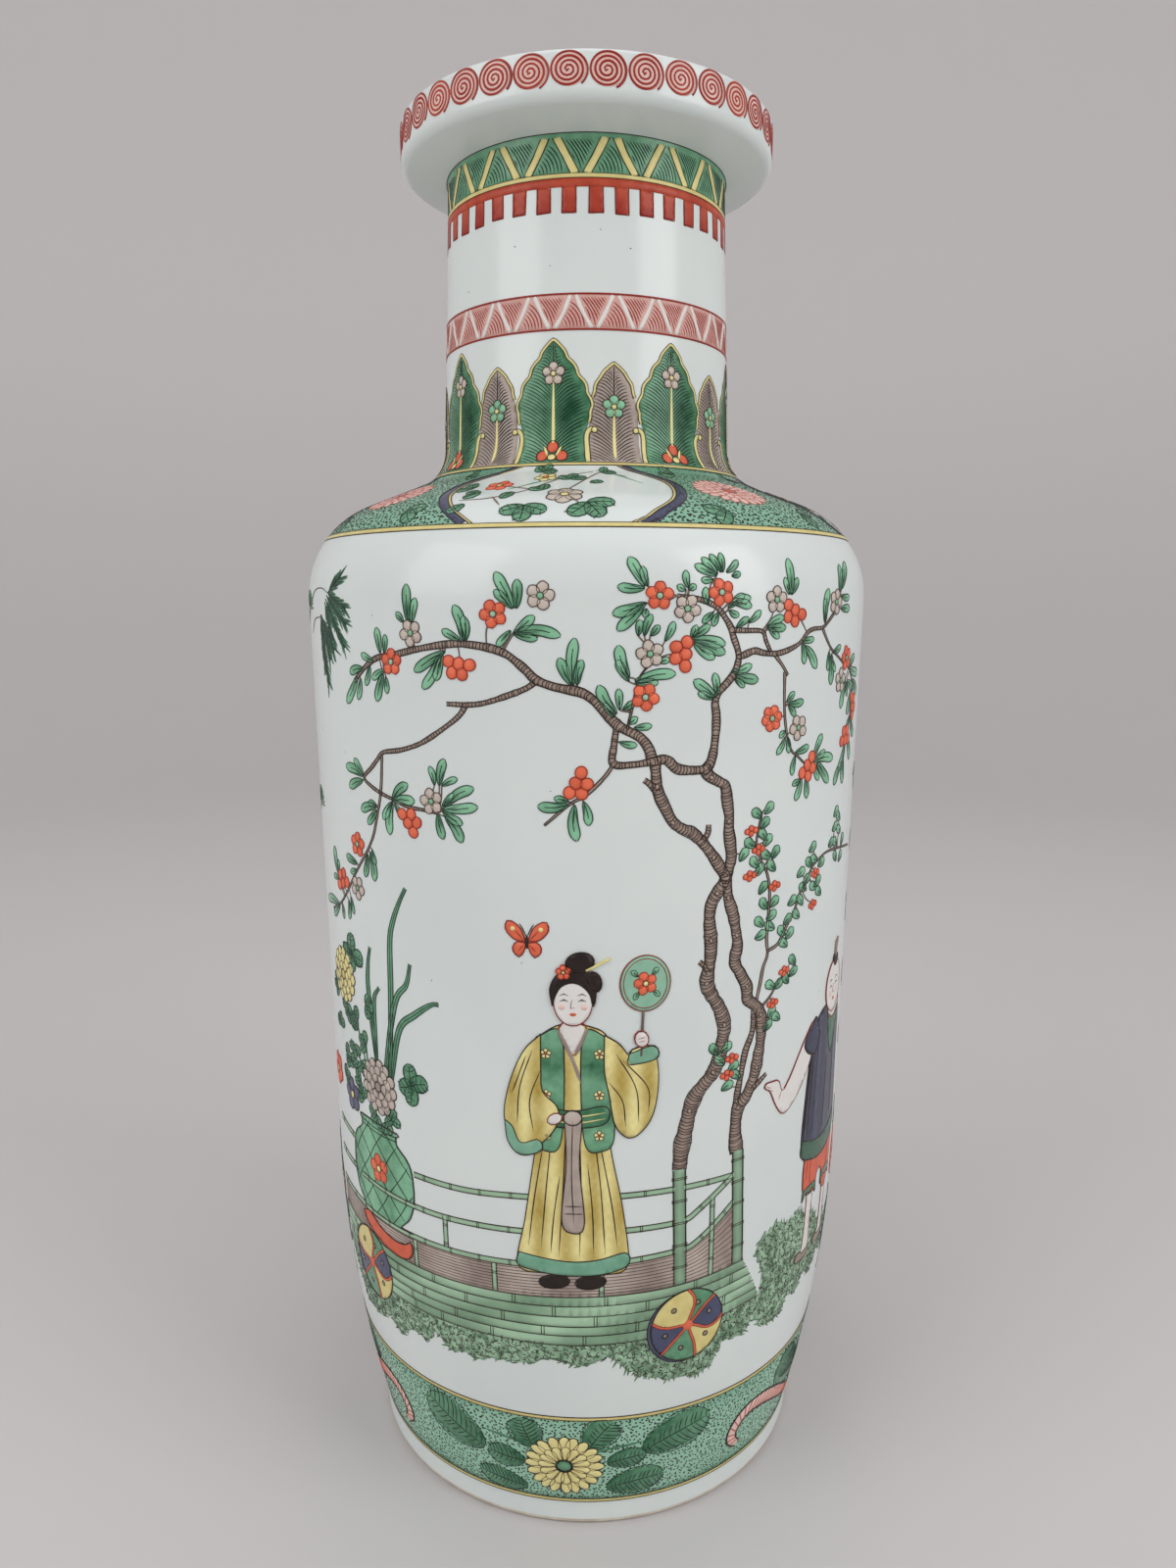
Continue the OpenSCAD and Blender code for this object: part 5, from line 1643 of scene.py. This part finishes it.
def paint_boy(pen):
    """A boy attendant in a blue tunic and red trousers."""
    foot = pen.at(*boy_place)
    leg = [(-2, 26), (-2.4, 10), (-3, 2.5), (-6.5, 0.8), (-1, -0.3), (2.2, 1), (2, 11), (2.2, 26)]
    shoe = [(-7.4, 2), (-4, 2.6), (-3, 1.4), (2.4, 1.4), (2.8, -1), (-2, -1.6), (-7.2, -0.6)]
    for x in (-9, 6):
        shape(pen, foot + (x, 0), leg, "white", 0.85, 0, "brick")
        shape(pen, foot + (x, 0), shoe, "bark", 0.6, 1)
    trousers = [
        (-14, 40), (-15, 31), (-13.5, 24), (-5, 23), (-3, 28), (1, 28), (3, 20), (7, 19), (11, 24),
        (13, 31), (12, 40),
    ]
    shape(pen, foot, trousers, "red", 0.6, 1)
    creases = [[(-9, 38), (-10, 32), (-9, 25)], [(7, 38), (8, 32), (7, 25)], [(-12, 37), (-12.5, 29)]]
    folds(pen, foot, creases, 0.38, 0.2, 2, "brick")
    cuff = [(-5, 25.5), (-5.5, 21.5), (-3, 24), (0, 23), (3, 24), (5.2, 21), (4.8, 25.5), (0, 26)]
    for x in (-9.3, 6.8):
        shape(pen, foot + (x, 0), cuff, "leek", 0.1, 2)
    tunic = [
        (-12, 84), (-15.5, 64), (-17, 40), (-8, 36), (0, 35), (9, 36), (15, 40), (14.5, 64), (13, 84),
        (5, 88), (-5, 88),
    ]
    shape(pen, foot, tunic, "blue", lambda p: 0.2 + 0.22 * np.sin(p[:, 0] * 0.7), 2)
    hem = [
        (-17, 45), (-17, 39), (-8, 35), (0, 34), (9, 35), (15, 39), (14.8, 45), (8, 42), (0, 41), (-8, 42),
    ]
    shape(pen, foot, hem, "moss", 0.8, 3)
    seams = [
        [(-8, 80), (-9, 62), (-10, 46)], [(0, 70), (0, 60), (-1, 44)], [(7, 80), (8, 62), (8, 46)],
        [(-12, 72), (-13, 58), (-14, 46)],
    ]
    folds(pen, foot, seams, 0.38, 0.1, 3)
    shape(pen, foot, [(-1, 85), (1, 76), (5, 69), (9, 76), (11, 85), (5, 83)], "green", 0.1, 3)
    arm = [
        (-12, 80), (-14.5, 73), (-20, 65.5), (-26, 60.5), (-30, 59.5), (-33.5, 63.5), (-36.5, 69),
        (-39, 70.5), (-38.6, 72), (-35.5, 72), (-32.5, 71.5), (-30.5, 67.5), (-27, 70.5), (-22.5, 76.5),
        (-18, 82), (-13, 86),
    ]
    shape(pen, foot, arm, "white", 0.9, 4, "brick")
    fingers = [[(-38.4, 71), (-36, 70)], [(-37, 69.6), (-35, 68.6)], [(-31, 67.5), (-32.4, 65)]]
    folds(pen, foot, fingers, 0.28, 0.5, 5, "brick")
    shape(pen, foot, [(-11, 87), (-15.5, 84), (-19, 79.5), (-16, 76), (-11, 74), (-8, 80)], "blue", 0.2, 6)
    edges = [[(-19, 79.5), (-16, 76), (-11, 74)], [(-13.2, 74), (-15, 60), (-16.4, 45)]]
    folds(pen, foot, edges, 1.1, 0.3, 7)
    shape(pen, foot, [(1, 90), (10, 90), (12, 85), (5, 82), (-1, 85)], "white", 0.85, 4, "brick", False)
    head = np.array((4.4, 93.6))
    egg(pen, foot, head, 8.2, 9.2, 0, 26, "white", 0.95, 5)
    shape(pen, foot, oval((5, 102.6), 2.8, 2.2, 0, 14), "ink", 0.1, 6)
    locks = [[(5, 103.5), (5.4, 106.5), (7, 110)], [(4.4, 103.5), (4.2, 106.5), (5, 109.5)]]
    folds(pen, foot, locks, 1.2, 0.6, 7, "bark")
    paint_face(pen, foot + head - (0.6, 0.4), 1.05, 6)


def paint_butterfly(pen):
    spot = pen.at(*butterfly_place)
    for side in (-1, 1):
        for wing in (UPPER_WING, LOWER_WING):
            shape(pen, spot, both_sides(wing, side), "red", 0.75, 0, "brick")
        feeler = both_sides([(0, 1.5), (1.4, 4.4), (2.2, 5.6)], side)
        pen.stroke("ink", np.array(feeler) + spot, 0.3, 0.2, LINE, 1, 0.2)
    pen.dab("ink", oval(spot, 0.6, 2.2, 0, 10), 0.2, TOP)
    for side in (-1, 1):
        pen.dab("yellow", oval(spot + (side * 4.2, 4), 0.8, 0.8, 0, 8), 0.8, TOP)
        veins = [both_sides(vein, side) for vein in ([(0.8, 0.6), (3.4, 3.4)], [(0.8, -0.6), (2.6, -2.8)])]
        folds(pen, spot, veins, 0.28, 0.2, 1, "brick")


needle_count = 15


def pine_spray(pen, root, tip):
    """A hanging spray of many narrow needles on both sides of a twig."""
    root = pen.at(*root)
    way = pen.at(*tip) - root
    along = way / np.hypot(*way)
    side = leftwards(along)
    pen.blade("green", [root, root + way], 2.8, (0.1, 0.35), WASH, 0.5)
    pen.stroke("moss", [root, root + way], 0.4, 0.1, OVER, 2)
    for k in range(needle_count):
        spot = root + way * (0.05 + 0.9 * k / needle_count)
        for s in (-1, 1):
            end = spot + (along + side * s * chance.uniform(0.25, 0.5)) * chance.uniform(3.6, 6.2)
            path, _ = pen.blade("green", [spot, end], 0.8, (0.0, 0.4), FILL, 0.5)
            pen.stroke("moss", path, 0.22, 0.1, OVER, 1.5, 0.3)


PINE = [
    ((-56, 308), (-51, 312.5)), ((-56.5, 308), (-49, 303)), ((-57, 307), (-49, 298)),
    ((-57.5, 306), (-50, 291)), ((-58, 305), (-55, 293)), ((-61, 301), (-59.5, 284)),
    ((-60.5, 301), (-56.5, 287)), ((-60, 300), (-54.5, 290)), ((-61, 296), (-58, 279)),
]
PINE_STALKS = [
    [(-70, 303), (-65, 308.5), (-60, 309.4), (-56, 307.6)], [(-69, 295), (-66, 299.4), (-61, 300.4)],
]
PINE_TRUNK = [
    (2, 96), (0.5, 120), (-3, 142), (-4, 166), (0, 190), (4.5, 214), (3.5, 238), (-1.5, 258), (-4, 276),
    (-1, 296), (1, 312),
]
PINE_LIMBS = [
    [(-3.8, 276), (-9, 283), (-15, 287), (-19, 294)], [(-2.5, 290), (5, 296), (12, 299), (18, 303)],
    [(4, 226), (11, 233), (18, 237)], [(-1, 256), (-8, 252), (-15, 249), (-19, 243)],
    [(-4, 160), (-11, 168), (-16, 171)], [(2, 204), (-6, 209), (-12, 214)],
    [(0.6, 306), (-7, 309), (-12, 311)],
]
PINE_TUFTS = [
    (-19, 294), (-13, 288), (18, 303), (10, 300), (18, 237), (11, 235), (-19, 243), (-13, 251), (-16, 171),
    (-12, 214), (-12, 311), (1, 314), (-4, 300), (5, 262), (-9, 262),
]
ROCK = [
    (-13, 60), (-15, 68), (-12, 77), (-14, 86), (-9.5, 95), (-10, 104), (-5, 112), (-1, 108), (2, 116),
    (6, 109), (9, 98), (7.5, 90), (12, 82), (11, 72), (14, 62), (6, 58), (-4, 57),
]
ROCK_HOLES = [
    (-5, 88, 3.2, 5), (4, 99, 2.4, 3.6), (5, 76, 3.6, 4.4), (-7, 71, 2.4, 3.2), (-1.5, 103, 1.6, 2.4),
]
ROCK_GRASS = [(-20, 63), (-12, 57), (0, 54.5), (13, 57), (20, 62), (15, 67), (0, 69), (-15, 68)]
PINE_LEAVES = [
    (-15, 76, 2.4), (-16.5, 84, 2.0), (15, 77, 0.7), (16.5, 86, 1.1), (-13, 112, 2.2), (12, 108, 0.8),
]
PEONY_LEAVES = [
    (-14, 84, 2.6), (-15, 74, 3.4), (14.5, 90, 0.4), (15.5, 78, -0.2), (-10.5, 118, 2.0), (11, 117, 1.0),
]
tuft_needles = 17


def paint_rock(pen, leaves, leaf_size):
    """A pierced garden rock with grass at its foot and leaves around it."""
    middle = pen.at(0, 80)
    grass = rounded(pen.path(ROCK_GRASS), 1.2)
    pen.patch("leek", grass, mottled, WASH, 2.0)
    scribble(pen, grid_in(grass, 1.8, 0.5), 0.9)
    ring = rounded(pen.path(ROCK), 1.3)
    pen.patch("aubergine", ring, lambda p: 0.5 + 0.3 * np.sin(p[:, 0] * 0.35 + p[:, 1] * 0.12), FILL, 2.4)
    pen.stroke("ink", closed(ring), 0.55, 0.2, OVER, 1.3)
    for a, z, rx, ry in ROCK_HOLES:
        pen.bead("blue", oval(pen.at(a, z), rx, ry, 0.3, 14), 0.3, OVER, 0.45, 0.2, 0.9)
    for p in grid_in(ring, 4.2, 0.35):
        way = (middle - p) * 0.03 + chance.uniform(-1.2, 1.2, 2)
        pen.stroke("ink", [p - way, p + (0.4, 0.6), p + way], 0.32, 0.4, OVER, 1.2, 0.3)
    for a, z, turn in leaves:
        lobed_leaf(pen.on("jar"), pen.at(a, z), leaf_size, turn, 3)


def paint_pine(pen):
    """A tall pine behind a rock, between the two terraces."""
    bark(pen, PINE_TRUNK[::-1], 3.0, 6.2)
    for limb in PINE_LIMBS:
        bark(pen, limb, 2.2, 0.9)
    for place in PINE_TUFTS:
        centre = pen.at(*place)
        for k in range(tuft_needles):
            turn = math.pi * (0.02 + 0.96 * k / (tuft_needles - 1)) + chance.uniform(-0.06, 0.06)
            needle = [centre, centre + direction(turn) * (8.2, 6.2)]
            pen.blade("green", needle, 1.15, (0.15, 0.55), FILL, 0.6, full=0.6)
            pen.stroke("ink", needle, 0.22, 0.1, OVER, 2)
        pen.dab("aubergine", oval(centre, 1.3, 1.0, 0, 10), 0.6, LINE)
    paint_rock(pen.on("terrace"), PINE_LEAVES, 6.2)
    above = pen.on("jar").lifted(0.1)
    rings = [(1.0, 17, 0.34), (0.68, 12, 0.32)]
    chrysanthemum(above, pen.at(-14, 100), 8.5, "red", rings, "brick", "yellow")
    chrysanthemum(above, pen.at(14, 97), 8.5, "yellow", rings)


BAMBOO_CANES = [
    (-7, 92, -10, 250), (-2.5, 98, -1.5, 284), (3, 100, 6, 262), (8, 92, 13, 226),
]
cane_twigs = 9
twig_leaves = 4


def paint_bamboo_grove(pen):
    """A clump of bamboo and peonies behind a rock, between the two boys."""
    for a0, z0, a1, z1 in BAMBOO_CANES:
        cane = [(a0, z0), ((a0 + a1) / 2 + 0.8, (z0 + z1) / 2), (a1, z1)]
        bamboo(pen.on("terrace"), cane, 2.4, 15)
        for k in range(cane_twigs):
            t = 0.4 + 0.6 * k / (cane_twigs - 1)
            root = pen.at(a0 + (a1 - a0) * t, z0 + (z1 - z0) * t)
            side = 1 if k % 2 else -1
            for j in range(twig_leaves):
                turn = -0.35 - 0.42 * j + chance.uniform(-0.1, 0.1)
                way = np.array([side * math.cos(turn), math.sin(turn)]) * chance.uniform(9, 13)
                finger_leaf(pen, root + way * 0.12, root + way, 2.1)
    paint_rock(pen.on("terrace"), PEONY_LEAVES, 6.5)
    above = pen.on("jar").lifted(0.1)
    rings = [(1.0, 15, 0.42), (0.7, 11, 0.4), (0.42, 7, 0.4)]
    chrysanthemum(above, pen.at(-13, 105), 9, "pink", rings, "red", "yellow")
    chrysanthemum(above, pen.at(13.5, 106), 8.5, "aubergine", rings, heart="yellow")


# Dark specks fired into the glaze: the two heights that they lie between, and how many
SPECKS = ((401, 419, 16), (60, 320, 40))
speck_top = 0.03


def paint_specks():
    for z0, z1, count in SPECKS:
        pen = Pen(Zone((z0 + z1) / 2), "specks")
        for _ in range(count):
            spot = pen.at(chance.uniform(0, 360), chance.uniform(z0, z1))
            speck = oval(spot, chance.uniform(0.15, 0.35), chance.uniform(0.15, 0.3), 0, 7)
            pen.dab("ink", speck, 0.5, speck_top)


body_mid_z = 200
SIDES = ((0, False, "yellow", "green"), (180, True, "blue", "turquoise"))


def paint_body():
    for turn, mirrored, robe, jacket in SIDES:
        trees = Pen(Zone(body_mid_z, turn, mirrored), "trees")
        terrace = trees.on("terrace")
        people = trees.on("people")
        paint_trees(trees)
        paint_terrace(terrace)
        paint_jar(trees.on("jar"))
        paint_lady(people, robe, jacket)
        paint_boy(people)
        paint_butterfly(people)
        for place in BALLS:
            brocade_ball(terrace, place)
        for stalk in PINE_STALKS:
            trees.stroke("ink", trees.path(stalk), 0.4, 0.4, FILL, 1.5, 0.2)
        for root, tip in PINE:
            pine_spray(trees, root, tip)
    paint_pine(Pen(Zone(body_mid_z, -90), "trees"))
    paint_bamboo_grove(Pen(Zone(body_mid_z, 90), "trees"))


# Coats of glaze turned to the outline
def turned(name, loop, node):
    """A coat turned from a closed outline, which takes the place of one plain coat."""
    loop = np.asarray(loop, float)
    keep = np.hypot(*(loop - np.roll(loop, 1, axis=0)).T) > 1e-6
    loop = loop[keep]
    a = np.linspace(0, 2 * math.pi, lathe_steps, endpoint=False)
    points = []
    rows = []
    for r, z in loop:
        start = len(points)
        if r < 1e-6:
            points.append((0, 0, z))
            rows.append([start] * lathe_steps)
        else:
            points.extend(zip(r * np.cos(a), r * np.sin(a), [z] * lathe_steps))
            rows.append(list(range(start, start + lathe_steps)))
    faces = []
    for low, high in zip(rows, rows[1:] + rows[:1]):
        for i in range(lathe_steps):
            j = (i + 1) % lathe_steps
            face = list(dict.fromkeys((low[i], low[j], high[j], high[i])))
            if len(face) > 2:
                faces.append(face)
    mesh = bpy.data.meshes.new(name)
    mesh.from_pydata((np.array(points) * MM).tolist(), [], faces)
    mesh.polygons.foreach_set("use_smooth", [True] * len(faces))
    mesh.set_sharp_from_angle(angle=math.radians(40))
    mesh.materials.append(glaze)
    ride(bpy.data.objects.new(name, mesh), "glaze", node)


turned("outside_glaze", outside(0) + outside(-glaze_t)[::-1], "outer_glaze")
turned("inside_glaze", inside(glaze_t) + inside(0)[::-1], "inner_glaze")
turned("underside_glaze", recess(-glaze_t) + recess(0)[::-1], "base_glaze")
paint_rim()
paint_neck()
paint_shoulder()
paint_border()
paint_specks()
paint_body()

REPLACED = {
    ("rim", "red"): ["rim_spirals"],
    ("neck", "green"): ["neck_zigzag_band", "neck_green_leaves"],
    ("neck", "yellow"): ["neck_upper_line", "neck_lower_line"],
    ("neck", "red"): ["neck_red_teeth"],
    ("neck", "pink"): ["neck_red_band"],
    ("neck", "aubergine"): ["neck_aubergine_leaves"],
    ("shoulder", "turquoise"): ["shoulder_ground"],
    ("shoulder", "blue"): ["shoulder_frames"],
    ("shoulder", "yellow"): ["shoulder_line"],
    ("border", "turquoise"): ["border_ground"],
    ("border", "yellow"): ["border_upper_line", "border_lower_line"],
    ("border", "pink"): ["border_frames"],
}
for (part, paint), found in coats.items():
    found.build(f"{part}_{paint}", paint, *REPLACED.get((part, paint), []))

CLAY = ("base_section", "lower_body", "upper_body", "shoulder", "neck", "mouth")
for name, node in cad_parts.items():
    if node.type == "MESH":
        node.data.materials.clear()
        node.data.materials.append(biscuit if name in CLAY else slip if name.endswith("_seam") else glaze)

# Pale floor that bends up into a wall far around, and soft light
floor_bend = 1.3
floor_flat = 1.5
backdrop_h = 3.2
floor_steps = 96
FLOOR_TINT = (207, 205, 205)
PAINTED_LIGHT_WALL_TINT = (229, 227, 226)


def backdrop():
    """Pale grey paper, painted paler as it rises: painted light that brightens the wall in place of lamp
    light.
    """
    material = ceramic("pale_floor", FLOOR_TINT, FLOOR_TINT, 0.6, 3, 0.0)
    nodes = material.node_tree.nodes
    link = material.node_tree.links.new
    place = nodes.new("ShaderNodeTexCoord")
    axes = nodes.new("ShaderNodeSeparateXYZ")
    rise = nodes.new("ShaderNodeMapRange")
    rise.inputs["From Max"].default_value = floor_bend
    ramp = nodes.new("ShaderNodeValToRGB")
    ramp.color_ramp.interpolation = "EASE"
    ramp.color_ramp.elements[0].color = tint(*FLOOR_TINT)
    # Painted light: the wall's colour grows paler upwards to stand in for brighter light falling on it.
    ramp.color_ramp.elements[1].color = tint(*PAINTED_LIGHT_WALL_TINT)
    link(place.outputs["Object"], axes.inputs["Vector"])
    link(axes.outputs["Z"], rise.inputs["Value"])
    link(rise.outputs["Result"], ramp.inputs["Fac"])
    link(ramp.outputs["Color"], nodes["Principled BSDF"].inputs["Base Color"])
    return material


def make_floor():
    turns = np.linspace(0, math.pi / 2, 13)
    sweep = [(floor_flat + floor_bend * math.sin(a), floor_bend * (1 - math.cos(a))) for a in turns]
    sweep.append((floor_flat + floor_bend, backdrop_h))
    around = np.linspace(0, 2 * math.pi, floor_steps, endpoint=False)
    points = [(r * math.cos(a), r * math.sin(a), z) for r, z in sweep for a in around]
    faces = [tuple(range(floor_steps))]
    for low in range(0, len(points) - floor_steps, floor_steps):
        high = low + floor_steps
        for i in range(floor_steps):
            j = (i + 1) % floor_steps
            faces.append((low + i, high + i, high + j, low + j))
    mesh = bpy.data.meshes.new("floor")
    mesh.from_pydata(points, [], faces)
    mesh.polygons.foreach_set("use_smooth", [True] * len(faces))
    mesh.materials.append(backdrop())
    return bpy.data.objects.new("floor", mesh)


floor = make_floor()
bpy.context.collection.objects.link(floor)


def lamp(name, place, aim, size, power):
    data = bpy.data.lights.new(name, "AREA")
    data.shape = "RECTANGLE"
    data.size, data.size_y = size
    data.energy = power
    made = bpy.data.objects.new(name, data)
    made.location = place
    made.rotation_euler = (Vector(aim) - Vector(place)).to_track_quat("-Z", "Y").to_euler()
    bpy.context.collection.objects.link(made)


lamp("left_window", (-1.3, -0.9, 1.0), (0, 0, 0.25), (1.1, 1.5), 10.4)
lamp("right_window", (1.3, -0.8, 0.9), (0, 0, 0.25), (0.9, 1.4), 10.4)
lamp("ceiling", (0, -0.2, 1.8), (0, 0, 0.2), (1.8, 1.8), 4)

scene = bpy.context.scene
world = bpy.data.worlds.new("room")
world.use_nodes = True
world.node_tree.nodes["Background"].inputs["Color"].default_value = (0.62, 0.6, 0.61, 1)
world.node_tree.nodes["Background"].inputs["Strength"].default_value = 1.06
scene.world = world
scene.view_settings.view_transform = "Standard"

camera_data = bpy.data.cameras.new("camera")
camera_data.sensor_width = 36
camera_data.lens = 25.07
camera_data.shift_x = 0.001
camera = bpy.data.objects.new("camera", camera_data)
camera.location = (0, -0.4004, 0.3031)
camera.rotation_euler = (math.radians(80.85), 0, 0)
bpy.context.collection.objects.link(camera)
scene.camera = camera
